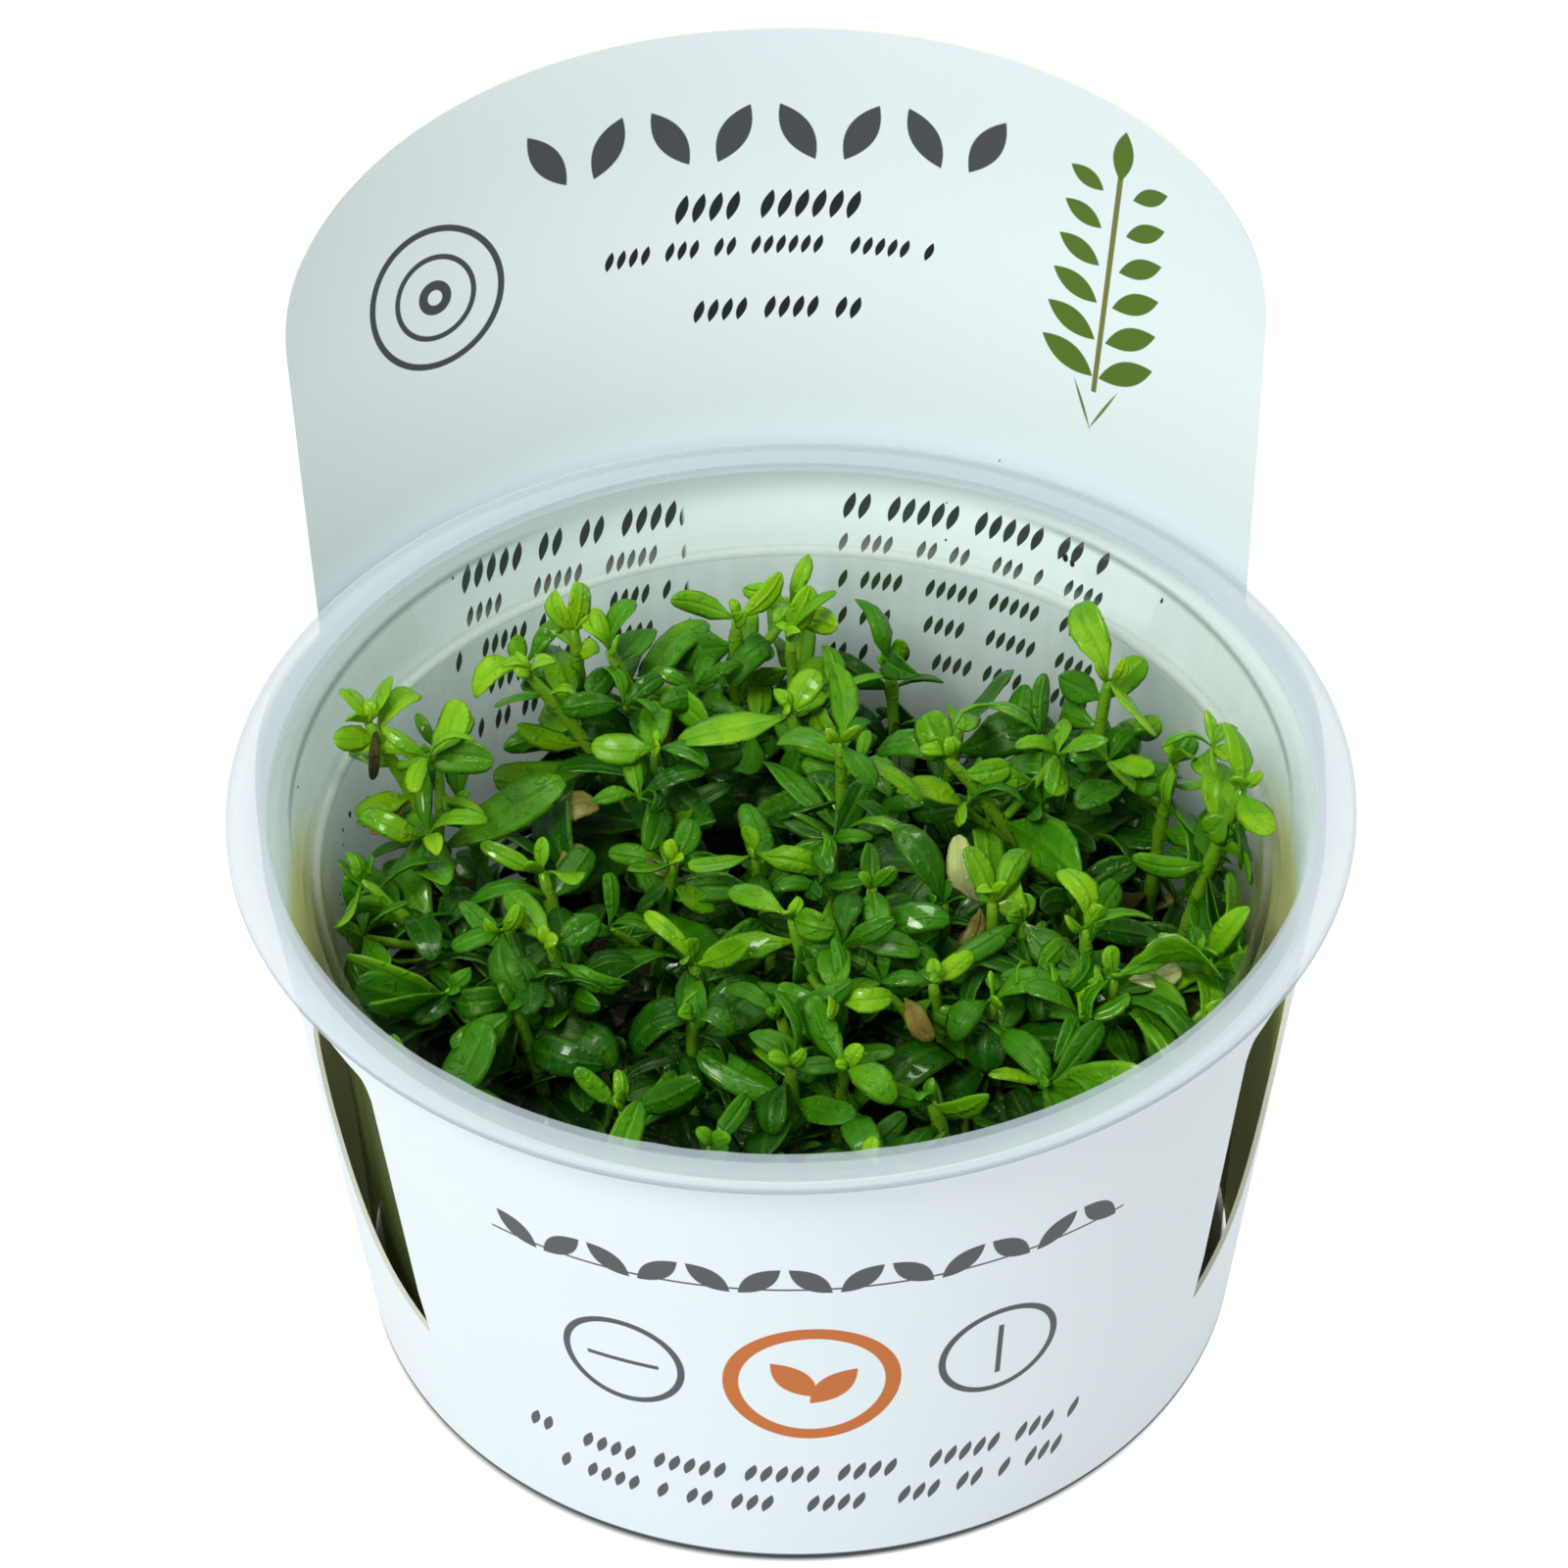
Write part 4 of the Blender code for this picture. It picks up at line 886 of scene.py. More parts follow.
# Shoots that stand out: the crown's picture point and height in mm, how far the foot stands off below it,
# and at each node, top one first, its drop in mm and its leaves' tips as picture point, rise, width
leadingShoots = (
    ((376, 738, 55), (10, 1), ((0, ((346, 704, 2.5, 2.4), (399, 690, 2.5, 2.4))),
                               (2.2, ((318, 750, 1.0, 2.6), (424, 706, 1.5, 3.0))))),
    ((586, 642, 50), (1, 0), ((0, ((592, 594, 3.0, 2.6), (566, 602, 2.5, 2.2))),
                              (3, ((543, 646, 0, 3.2), (612, 664, 0.5, 2.6))),
                              (7, ((584, 738, -4.5, 3.3),)))),
    ((622, 664, 49), (8, 0), ((0, ((646, 612, 3.0, 2.8), (606, 620, 3.0, 2.0))),
                              (2.0, ((665, 642, 0.5, 3.2),)))),
    ((752, 632, 49), (-1, 0), ((0, ((797, 584, 3.0, 2.2), (684, 612, 1.5, 2.4))),
                               (3.5, ((683, 670, -3.0, 4.0), (790, 664, -1, 3.0))))),
    ((806, 654, 47), (1, 2), ((0, ((826, 597, 4.0, 3.0), (853, 603, 3.5, 2.2))),
                              (4, ((757, 718, -4, 3.4), (860, 690, -2, 3.0))))),
    ((806, 730, 47), (5, 3), ((0, ((692, 758, -1, 4.2), (834, 684, 2.5, 3.2))),
                              (4, ((800, 800, -4, 3.4),)))),
    ((668, 764, 46), (0, 6), ((0, ((603, 763, 0.5, 3.6), (723, 784, -1.0, 2.6))),
                              (2.5, ((671, 716, 1.5, 3.2), (726, 845, -4, 3.2))))),
    ((858, 757, 52), (0, 0), ((0, ((849, 675, 3.0, 3.6), (893, 806, -2.5, 3.8))),
                              (2.5, ((793, 758, 0.5, 3.2), (941, 818, -3, 2.2))),
                              (7.5, ((790, 830, -2, 3.0), (914, 858, -3, 2.0))))),
    ((966, 773, 48), (14, 1), ((0, ((945, 728, 2.5, 4.0), (1018, 720, 3.0, 1.9))),
                               (2.5, ((896, 766, 0.5, 3.0), (1031, 783, 0, 2.4))),
                               (6.5, ((1050, 802, 0.5, 2.0), (930, 830, -3, 3.0))))),
    ((1131, 694, 51), (-3, -2), ((0, ((1104, 614, 3.0, 3.6), (1180, 752, -3.0, 3.6))),
                                 (2.5, ((1080, 690, 0, 3.6), (1168, 672, 2.0, 3.0))),
                                 (6, ((1088, 728, -2, 3.2), (1160, 772, -3, 3.0))))),
    ((1198, 780, 47), (-2, 3), ((0, ((1216, 750, 2, 2.4), (1190, 822, -2, 2.6))),
                                (3, ((1240, 800, 0, 2.6), (1160, 800, -1, 2.8))))),
    ((1152, 754, 43), (-3, 4), ((0, ((1102, 788, -1, 2.6), (1190, 734, 2, 2.6))),
                                (4, ((1120, 730, 0, 3.0),)))),
    ((1268, 806, 53), (-7, 2), ((0, ((1249, 737, 3.5, 3.4), (1312, 852, 0, 3.4))),
                                (3.5, ((1230, 850, -2, 3.0),)))),
    ((540, 690, 49), (14, 0), ((0, ((512, 680, 1.5, 2.4), (568, 676, 2, 2.2))),
                               (3, ((505, 720, -1, 2.8), (590, 712, 0, 2.4))))),
    ((368, 899, 44), (17, -3), ((0, ((343, 886, 1, 2.0), (380, 872, 2, 2.0))),
                                (1.8, ((455, 880, 2.5, 2.2),)))),
    ((460, 1012, 41), (-7, 6), ((0, ((516, 1023, 0, 3.0), (424, 1044, 0, 2.2))),
                                (3, ((470, 1062, -3, 2.6),)))),
    ((513, 950, 44), (1, 0), ((0, ((540, 1026, -3, 3.6), (461, 968, 0, 3.0))),
                              (3.5, ((470, 920, 1, 2.4),)))),
    ((562, 966, 43), (3, 3), ((0, ((612, 938, 1, 2.9), (517, 910, 2, 3.0))),
                              (2.5, ((642, 1002, -1, 2.4), (560, 1050, -4, 2.8))))),
    ((526, 1030, 41), (3, 4), ((0, ((461, 1070, 0, 3.4), (566, 1026, 0.5, 2.8))),
                               (2.5, ((509, 1090, -3, 2.0),)))),
    ((808, 938, 45), (4, -3), ((0, ((742, 908, 0, 2.8), (853, 948, 0.5, 3.1))),
                               (2.5, ((716, 980, -2, 3.0), (818, 1004, -3.5, 2.8))))),
    ((890, 905, 46), (-1, 0), ((0, ((886, 860, 2.0, 2.4), (896, 944, -2, 2.6))),
                               (3, ((872, 999, -3.5, 3.4), (934, 920, 0, 2.4))))),
    ((770, 872, 44), (2, 4), ((0, ((702, 885, 0, 2.8), (842, 888, -1, 2.8))),
                              (3, ((760, 820, 1, 3.0),)))),
    ((806, 1088, 42), (1, 4), ((0, ((790, 1010, 4.5, 2.3), (858, 1092, 0, 1.8))),
                               (2.5, ((786, 1158, -2, 3.6),)))),
    ((862, 1090, 41), (-1, 5), ((0, ((914, 1124, -0.5, 3.2), (828, 1016, 4, 2.6))),
                                (4, ((850, 1150, -3, 3.0),)))),
    ((706, 1040, 41), (0, 3), ((0, ((748, 1056, 0, 3.0), (664, 1046, 0.5, 3.0))),
                               (2.5, ((744, 1102, -2, 3.4), (700, 990, 1, 2.8))))),
    ((1042, 940, 44), (2, 2), ((0, ((1104, 994, -2, 3.6), (974, 981, -1, 2.4))),
                               (1.6, ((1038, 890, 4, 3.2),)))),
    ((1106, 948, 46), (2, 0), ((0, ((1084, 887, 3, 3.3), (1177, 938, 0.5, 3.2))),
                               (3, ((1140, 900, 1, 2.8),)))),
    ((1136, 998, 44), (0, 2), ((0, ((1202, 970, 1, 2.3), (1112, 1050, -3, 3.0))),
                               (2.5, ((1198, 1006, -1, 2.2), (1090, 990, 0, 2.4))))),
    ((1012, 1022, 42), (1, 4), ((0, ((1087, 1011, 0.5, 2.8), (970, 1060, -1.5, 2.8))),
                                (2.5, ((1006, 1094, -3, 3.8),)))),
    ((1012, 922, 46), (1, 0), ((0, ((986, 864, 3.5, 2.8), (1050, 868, 2, 2.6))),
                               (4.5, ((960, 940, -1, 2.4),)))),
    ((952, 1003, 42), (2, 3), ((0, ((899, 1003, 0, 2.5), (992, 972, 1.5, 2.4))),
                               (2.5, ((922, 1050, -2, 2.6),)))),
    ((688, 880, 43), (-3, 3), ((0, ((640, 888, 0.5, 2.6), (706, 836, 2, 2.6))),
                               (3, ((650, 930, -2, 2.8), (730, 930, -3, 2.6))))),
)

stand = {
    # sizes in mm, angles in radians; a filling leaf is its length, rise and width
    "seed": 33, "count": 57, "canopyHeight": 39.0, "canopyRadius": 38.0, "spots": 160, "spacing": 2.3,
    "crownMargin": 2.2, "tipMargin": 0.9, "footTrials": 90, "pathSteps": 24, "footHeight": 14.3,
    "drops": (0.0, 3.2, 7.2), "leaves": ((5.2, 3.2, 2.7), (6.6, 1.0, 3.1), (6.4, -1.0, 3.2)),
    "canopySpread": 2.5, "lean": (1.0, 5.0), "turnSpread": 0.25, "spanSpread": (0.85, 1.15),
    "liftSpread": 1.0, "widthSpread": (0.9, 1.1), "firstMove": 0.6, "moveStep": 0.2, "bendAt": 0.25,
    "bendRise": (0.45, 0.55),
}


def leadingShoot(entry):
    mark, footOffset, nodes = entry
    crown = insideCup(seenAt(mark[0], mark[1], mark[2] * mm), stand["crownMargin"] * mm)
    foot = Vector((crown.x + footOffset[0] * mm, crown.y + footOffset[1] * mm, stand["footHeight"] * mm))
    grown = []
    for drop, tips in nodes:
        leaves = []
        for across, down, rise, width in tips:
            tip = seenAt(across, down, crown.z + (rise - drop) * mm)
            leaves.append((insideCup(tip, stand["tipMargin"] * mm), width * mm))
        grown.append((drop * mm, leaves))
    return {"crown": crown, "foot": insideCup(foot, stand["crownMargin"] * mm), "nodes": grown}


def fillingShoot(crown, rng):
    lean = rng.uniform(0, math.tau)
    reach = rng.uniform(*stand["lean"]) * mm
    away = reach * math.cos(lean), reach * math.sin(lean)
    foot = Vector((crown.x + away[0], crown.y + away[1], stand["footHeight"] * mm))
    bearing = rng.uniform(0, math.pi)
    spread, lifted = stand["turnSpread"], stand["liftSpread"]
    grown = []
    for level, drop in enumerate(stand["drops"]):
        length, rise, width = stand["leaves"][level]
        leaves = []
        for side in (0, math.pi):
            angle = bearing + level * math.pi / 2 + side + rng.uniform(-spread, spread)
            span = length * rng.uniform(*stand["spanSpread"]) * mm
            lift = (rise - drop + rng.uniform(-lifted, lifted)) * mm
            tip = Vector((crown.x + span * math.cos(angle), crown.y + span * math.sin(angle), crown.z + lift))
            tip = insideCup(tip, stand["tipMargin"] * mm)
            leaves.append((tip, width * rng.uniform(*stand["widthSpread"]) * mm))
        grown.append((drop * mm, leaves))
    return {"crown": crown, "foot": insideCup(foot, stand["crownMargin"] * mm), "nodes": grown}


def stemPoint(shoot, along):
    foot, crown = shoot["foot"], shoot["crown"]
    bend = foot.lerp(crown, stand["bendAt"])
    bend.z = foot.z * stand["bendRise"][0] + crown.z * stand["bendRise"][1]
    return foot * (1 - along) ** 2 + bend * 2 * along * (1 - along) + crown * along ** 2


def stemSamples(shoot):
    return [stemPoint(shoot, step / stand["pathSteps"]) for step in range(stand["pathSteps"] + 1)]


def standOfShoots():
    # the same rule and seed as the CAD's solids
    rng = random.Random(stand["seed"])
    shoots = [leadingShoot(entry) for entry in leadingShoots]
    crowns = [shoot["crown"].copy() for shoot in shoots]
    while len(shoots) < stand["count"]:
        best, bestRoom = None, -1.0
        for number in range(stand["spots"]):
            radius = stand["canopyRadius"] * mm * math.sqrt((number + 0.5) / stand["spots"])
            angle = number * goldenAngle
            spot = Vector((radius * math.cos(angle), radius * math.sin(angle), 0))
            room = min(math.hypot(spot.x - other.x, spot.y - other.y) for other in crowns)
            if room > bestRoom:
                best, bestRoom = spot, room
        best.z = stand["canopyHeight"] * mm + rng.uniform(-stand["canopySpread"], stand["canopySpread"]) * mm
        crowns.append(best)
        shoots.append(fillingShoot(best, rng))
    # each foot is moved about until its stem stands clear of the others
    steps = stand["pathSteps"] + 1
    standing = KDTree(stand["count"] * steps)
    for number, shoot in enumerate(shoots):
        home = shoot["foot"].copy()
        for trial in range(stand["footTrials"]):
            rooms = [standing.find(point)[2] for point in stemSamples(shoot)] if number else []
            if all(room >= stand["spacing"] * mm for room in rooms):
                break
            reach = (stand["firstMove"] + stand["moveStep"] * trial) * mm
            angle = trial * goldenAngle
            moved = home + Vector((reach * math.cos(angle), reach * math.sin(angle), 0))
            shoot["foot"] = insideCup(moved, stand["crownMargin"] * mm)
        for step, point in enumerate(stemSamples(shoot)):
            standing.insert(point, number * steps + step)
        standing.balance()
    return shoots


# Faded leaves and a dry stick: the shoot's number, the two ends as picture point and height in mm, width, age
oldLeaves = (
    (30, (1001, 922, 43), (976, 852, 48), 2.7, 0.34), (30, (1000, 926, 43), (984, 968, 41), 2.2, 0.66),
    (31, (922, 1018, 42), (952, 1062, 40), 2.0, 0.70), (1, (384, 738, 54.5), (380, 796, 50), 1.1, 0.98),
    (28, (1150, 1000, 42), (1206, 990, 42), 2.6, 0.30), (27, (1168, 968, 44), (1222, 974, 43), 2.2, 0.36),
    (2, (560, 838, 37), (612, 824, 38), 3.0, 0.62), (8, (700, 900, 38), (660, 876, 39), 3.0, 0.60),
    (17, (566, 884, 36), (600, 868, 37), 2.8, 0.66),
)

wallGrowth = {"bearings": 72, "rows": 8, "lowest": 12.5, "frontTop": 48.0, "backTop": 29.0,
              "reach": (4.0, 11.5), "width": (2.8, 4.2), "gap": (0.7, 1.6), "backFrom": 0.15, "seed": 77}


def growToWall(shoots):
    # leaves that lie against the cup's wall, each from a stem near it
    rng = random.Random(wallGrowth["seed"])
    samples = [(point, shoot) for shoot in shoots for point in stemSamples(shoot)]
    stems = KDTree(len(samples))
    for index, (point, shoot) in enumerate(samples):
        stems.insert(point, index)
        shoot["wallLeaves"] = []
    stems.balance()
    for row in range(wallGrowth["rows"]):
        for step in range(wallGrowth["bearings"]):
            angle = math.tau * (step + rng.random()) / wallGrowth["bearings"]
            behind = math.sin(angle) >= wallGrowth["backFrom"]
            top = wallGrowth["backTop" if behind else "frontTop"]
            share = (row + rng.random()) / wallGrowth["rows"]
            height = (wallGrowth["lowest"] + (top - wallGrowth["lowest"]) * share) * mm
            room = wallRadius(height) - rng.uniform(*wallGrowth["gap"]) * mm
            tip = Vector((room * math.cos(angle), room * math.sin(angle), height))
            near = [found for found in stems.find_range(tip, wallGrowth["reach"][1] * mm)
                    if found[2] > wallGrowth["reach"][0] * mm]
            if near:
                place, index = rng.choice(near)[:2]
                samples[index][1]["wallLeaves"].append((place, tip, rng.uniform(*wallGrowth["width"]) * mm))
    return shoots


# A blade's thickness, neck and margin from the wall are in mm, its bends are shares of its length.
# A kind of leaf is its share of all, the least and most of its roundness, and its breadth.
leaf = {
    "sides": 8, "rings": 8, "tipwards": 1.25, "thickness": 0.50, "neck": 0.26, "broad": 0.96,
    "wallMargin": 0.55, "arch": (-0.12, 0.26), "droop": (0.0, 0.26), "channel": (-0.10, 0.40),
    "curl": (-0.20, 0.30), "twist": 0.9, "sway": 0.10, "waves": 7, "waveDepth": 0.08, "leastAside": 0.15,
    "kinds": ((0.66, 0.42, 0.54, 1.00), (0.16, 0.70, 0.95, 0.90), (0.18, 0.36, 0.44, 1.12)),
}
stem = {
    "sides": 8, "footRadius": 0.75, "topRadius": 0.54, "nodeSwell": 0.20, "swellReach": 0.5, "segment": 1.6,
    "fewest": 8, "endTaper": 0.6,
}
# How a shoot grows below its crown: lengths in mm, angles in radians, shapes as width over length
growth = {
    "seed": 700, "nodes": 11, "nodeGap": (3.0, 4.6), "lowest": 18.0, "footRoom": 3, "outwards": 26.0,
    "leafLength": (5.5, 11.0), "leafShape": (0.30, 0.50), "leafRise": (-1.5, 2.8), "nodeTurn": 0.4,
    "wallTurn": 0.9, "margin": 0.7, "swing": 0.5, "swingSpan": (0.90, 1.35), "swingRise": 1.5,
    "swingMargin": 0.8, "partnerSpan": 4.8, "partnerWidth": 0.85, "shownLevels": 2,
    "aged": 0.06, "agedBy": (0.60, 0.85), "oldTone": 0.5, "wallLean": 0.6,
    "budLength": (2.0, 3.4), "budTurn": 0.3, "budRise": 0.8, "budSpread": 0.6, "budShape": 0.62,
    "budMargin": 0.6, "budTone": 0.2, "leastAlong": 0.1, "facing": ((-0.9, 0.9), (-1.1, 0.5), 0.9),
    "tone": 0.46, "toneByHeight": 0.032, "toneSpread": 0.22, "shootSpread": 0.17,
}
sideStem = {
    "share": 0.42, "length": (5.0, 9.5), "shortest": 2.5, "sag": (0.5, 0.95), "sagDepth": 0.12,
    "rise": (0.5, 1.3), "margin": 1.6, "below": 2.5, "bends": (0, 0.3, 0.6, 0.85, 1.0), "radii": (0.48, 0.36),
    "swell": 0.1, "leaves": (4.2, 5.6, 6.6), "leafRises": (0.55, 0.2, -0.05), "riseSpread": 0.2,
    "turnSpread": 0.3, "spanSpread": (0.8, 1.2), "leafShape": (0.36, 0.52),
}


def leafBall():
    # the ball that every leaf is drawn from, with each vertex's share of the length and its place on the ring
    shape = bmesh.new()
    bmesh.ops.create_uvsphere(shape, u_segments=leaf["sides"], v_segments=leaf["rings"], radius=1.0)
    marks = []
    for vert in shape.verts:
        ring = math.hypot(vert.co.x, vert.co.y)
        u, v = (vert.co.x / ring, vert.co.y / ring) if ring > 0.00001 else (0.0, 0.0)
        marks.append((1 - ((1 - vert.co.z) / 2) ** leaf["tipwards"], ring, u, v))  # rings closer at the tip
    mesh = bpy.data.meshes.new("leafBall")
    shape.to_mesh(mesh)
    shape.free()
    return mesh, marks


ballMesh, ballMarks = leafBall()


def leafOutline(along, roundness):
    swell = max(1 - abs(2 * along ** 1.25 - 1) ** 2.4, 0.0) ** roundness
    return swell * (0.3 + 0.7 * smoothStep(0.0, 0.42, along))


def addLeaf(shape, layers, base, tip, width, facing, rng, tone, age=0.0):
    # a flattened ball drawn out along the leaf: neck, spoon-shaped blade, midrib channel, arch and curl
    line = tip - base
    length = line.length
    forwards = line.normalized()
    aside = forwards.cross(facing)
    if aside.length < leaf["leastAside"]:
        aside = forwards.cross(Vector((0.3, 1, 0.1)))
    aside.normalize()
    face = aside.cross(forwards).normalized()
    pick = rng.random()
    for share, least, most, broad in leaf["kinds"]:
        roundness = rng.uniform(least, most)
        if pick < share:
            break
        pick -= share
    width *= leaf["broad"] * broad
    arch = rng.uniform(*leaf["arch"]) * length
    droop = rng.uniform(*leaf["droop"]) * length
    channel = rng.uniform(*leaf["channel"])
    curl = rng.uniform(*leaf["curl"])
    wave = rng.uniform(0, math.tau)
    sway = rng.uniform(-leaf["sway"], leaf["sway"]) * length
    twist = rng.uniform(-leaf["twist"], leaf["twist"])
    start = len(shape.verts)
    shape.from_mesh(ballMesh)
    shape.verts.ensure_lookup_table()
    for vert, (along, ring, u, v) in zip(shape.verts[start:], ballMarks):
        spread = leafOutline(along, roundness)
        half = max(width * 0.5 * spread, leaf["neck"] * mm * min(ring * 1.6, 1.0) * (1 - along))
        thick = leaf["thickness"] * 0.5 * mm * (0.6 + 0.4 * spread) * min(ring * 1.8, 1.0)
        lift = arch * 4 * along * (1 - along) - droop * (along ** 3 - along)
        lift += abs(u) ** 1.5 * half * (channel - curl * along)
        lift += math.sin(along * leaf["waves"] + wave) * half * leaf["waveDepth"] * u
        offset = sway * math.sin(math.pi * along)
        turn = twist * (along - 0.5)
        right = aside * math.cos(turn) + face * math.sin(turn)
        over = face * math.cos(turn) - aside * math.sin(turn)
        middle = base + forwards * (length * along) + right * (u * half + offset) + over * lift
        vert.co = insideCup(middle, leaf["wallMargin"] * mm) + over * (v * thick)  # pressed against the wall
        vert[layers["along"]] = along
        vert[layers["across"]] = u
        vert[layers["tone"]] = tone
        vert[layers["age"]] = age


def addStem(shape, layers, points, footRadius, topRadius, swells, tone, age=0.0):
    # a round stem: a circle extruded from point to point
    first = (points[1] - points[0]).normalized()
    turn = first.to_track_quat('Z', 'Y')
    made = bmesh.ops.create_circle(shape, cap_ends=True, segments=stem["sides"], radius=footRadius,
                                   matrix=Matrix.Translation(points[0]) @ turn.to_matrix().to_4x4())
    ring = made["verts"]
    edges = list(dict.fromkeys(edge for vert in ring for edge in vert.link_edges))
    every = list(ring)
    radius = footRadius
    for index in range(1, len(points)):
        ahead = (points[min(index + 1, len(points) - 1)] - points[index - 1]).normalized()
        share = index / (len(points) - 1)
        wanted = footRadius + (topRadius - footRadius) * share
        for place, swell in swells:
            wanted += swell * math.exp(-((points[index] - place).length / (stem["swellReach"] * mm)) ** 2)
        if index == len(points) - 1:
            wanted *= stem["endTaper"]
        grown = bmesh.ops.extrude_edge_only(shape, edges=edges)["geom"]
        ring = [item for item in grown if isinstance(item, bmesh.types.BMVert)]
        edges = [item for item in grown if isinstance(item, bmesh.types.BMEdge)
                 and item.verts[0] in ring and item.verts[1] in ring]
        bend = first.rotation_difference(ahead).to_matrix().to_4x4()
        move = (Matrix.Translation(points[index]) @ bend @ Matrix.Scale(wanted / radius, 4)
                @ Matrix.Translation(-points[index - 1]))
        bmesh.ops.transform(shape, matrix=move, verts=ring)
        every += ring
        first = ahead
        radius = wanted
    bmesh.ops.edgeloop_fill(shape, edges=edges)
    for vert in every:
        vert[layers["along"]] = -1.0
        vert[layers["tone"]] = tone
        vert[layers["age"]] = age


def toneAt(height, rng, shift=0.0):
    # lighter higher up, partly for younger leaves and partly painted light towards the top of the canopy:
    # height in metres, measured against the canopy's
    rise = (height / mm - stand["canopyHeight"]) * growth["toneByHeight"]
    spread = growth["toneSpread"]
    return min(max(growth["tone"] + shift + rise + rng.uniform(-spread, spread), 0.0), 1.0)


def facingFor(rng):
    across, forwards, up = growth["facing"]
    return Vector((rng.uniform(*across), rng.uniform(*forwards), up)).normalized()


def addBud(shape, layers, crown, heading, bearing, rng, tone):
    for side in (0, math.pi):
        span = rng.uniform(*growth["budLength"]) * mm
        angle = bearing + side + rng.uniform(-growth["budTurn"], growth["budTurn"])
        aside = Vector((math.cos(angle), math.sin(angle), 0))
        aim = heading * growth["budRise"] + aside * growth["budSpread"]
        tip = insideCup(crown + aim * span, growth["budMargin"] * mm)
        addLeaf(shape, layers, crown, tip, span * growth["budShape"], facingFor(rng), rng,
                min(tone + growth["budTone"], 1.0))


def addSideStem(shape, layers, foot, bearing, ceiling, rng):
    # a short stem from a node; gives back its leaves as base, tip and width
    length = rng.uniform(*sideStem["length"]) * mm
    sag = rng.uniform(*sideStem["sag"])
    aim = Vector((math.cos(bearing), math.sin(bearing), rng.uniform(*sideStem["rise"]))).normalized()
    crown = insideCup(foot + aim * length, sideStem["margin"] * mm)
    crown.z = min(crown.z, ceiling)
    if (crown - foot).length < sideStem["shortest"] * mm:
        return []
    middle = foot * 0.5 + crown * 0.5 + Vector((0, 0, -sideStem["sagDepth"] * length * sag))
    points = []
    for share in sideStem["bends"]:
        points.append(foot * (1 - share) ** 2 + middle * 2 * share * (1 - share) + crown * share ** 2)
    tone = toneAt(crown.z, rng)
    radii = [radius * mm for radius in sideStem["radii"]]
    addStem(shape, layers, points, *radii, [(points[2], sideStem["swell"] * mm)], tone)
    turn = rng.uniform(0, math.pi)
    turned, risen = sideStem["turnSpread"], sideStem["riseSpread"]
    leaves = []
    for level, place in enumerate((points[-1], points[-1], points[2])):
        for side in (0, math.pi):
            angle = turn + level * math.pi / 2 + side + rng.uniform(-turned, turned)
            span = sideStem["leaves"][level] * rng.uniform(*sideStem["spanSpread"]) * mm
            rise = sideStem["leafRises"][level] + rng.uniform(-risen, risen)
            tip = place + Vector((math.cos(angle), math.sin(angle), rise)) * span
            tip = insideCup(tip, growth["margin"] * mm)
            leaves.append((place, tip, span * rng.uniform(*sideStem["leafShape"])))
    return leaves


def lowerNodes(shape, layers, entry, length, rng):
    # the nodes below the given ones with their leaf pairs, and what their side stems bear
    drop, leaves = entry["nodes"][-1]
    spoke = leaves[0][0] - stemPoint(entry, max(1 - drop / length, growth["leastAlong"]))
    bearing = math.atan2(spoke.y, spoke.x)
    turned, wallTurned = growth["nodeTurn"], growth["wallTurn"]
    nodes, sideLeaves = [], []
    for level in range(1, growth["nodes"] + 1):
        drop += rng.uniform(*growth["nodeGap"]) * mm
        place = stemPoint(entry, max(1 - drop / length, 0.0))
        if place.z < growth["lowest"] * mm or drop > length - growth["footRoom"] * mm:
            break
        leaves = []
        for side in (0, math.pi):
            angle = bearing + level * math.pi / 2 + side + rng.uniform(-turned, turned)
            if side == 0 and math.hypot(place.x, place.y) > growth["outwards"] * mm:
                # near the wall one leaf of the pair turns towards it
                angle = math.atan2(place.y, place.x) + rng.uniform(-wallTurned, wallTurned)
            span = rng.uniform(*growth["leafLength"]) * mm
            rise = rng.uniform(*growth["leafRise"]) * mm
            tip = insideCup(place + Vector((math.cos(angle) * span, math.sin(angle) * span, rise)),
                            growth["margin"] * mm)
            leaves.append((tip, span * rng.uniform(*growth["leafShape"])))
        nodes.append((place, leaves))
        if rng.random() < sideStem["share"]:
            turn = bearing + rng.uniform(0, math.tau)
            ceiling = entry["crown"].z - sideStem["below"] * mm
            sideLeaves += addSideStem(shape, layers, place, turn, ceiling, rng)
    return nodes, sideLeaves


def pairedTips(place, leaves):
    # a node that shows one leaf gets the one on its far side too
    tips = list(leaves)
    if len(tips) == 1:
        away = place - tips[0][0]
        away.z = -abs(away.z)
        partner = place + away.normalized() * growth["partnerSpan"] * mm
        width = tips[0][1] * growth["partnerWidth"]
        tips.append((insideCup(partner, growth["swingMargin"] * mm), width))
    return tips


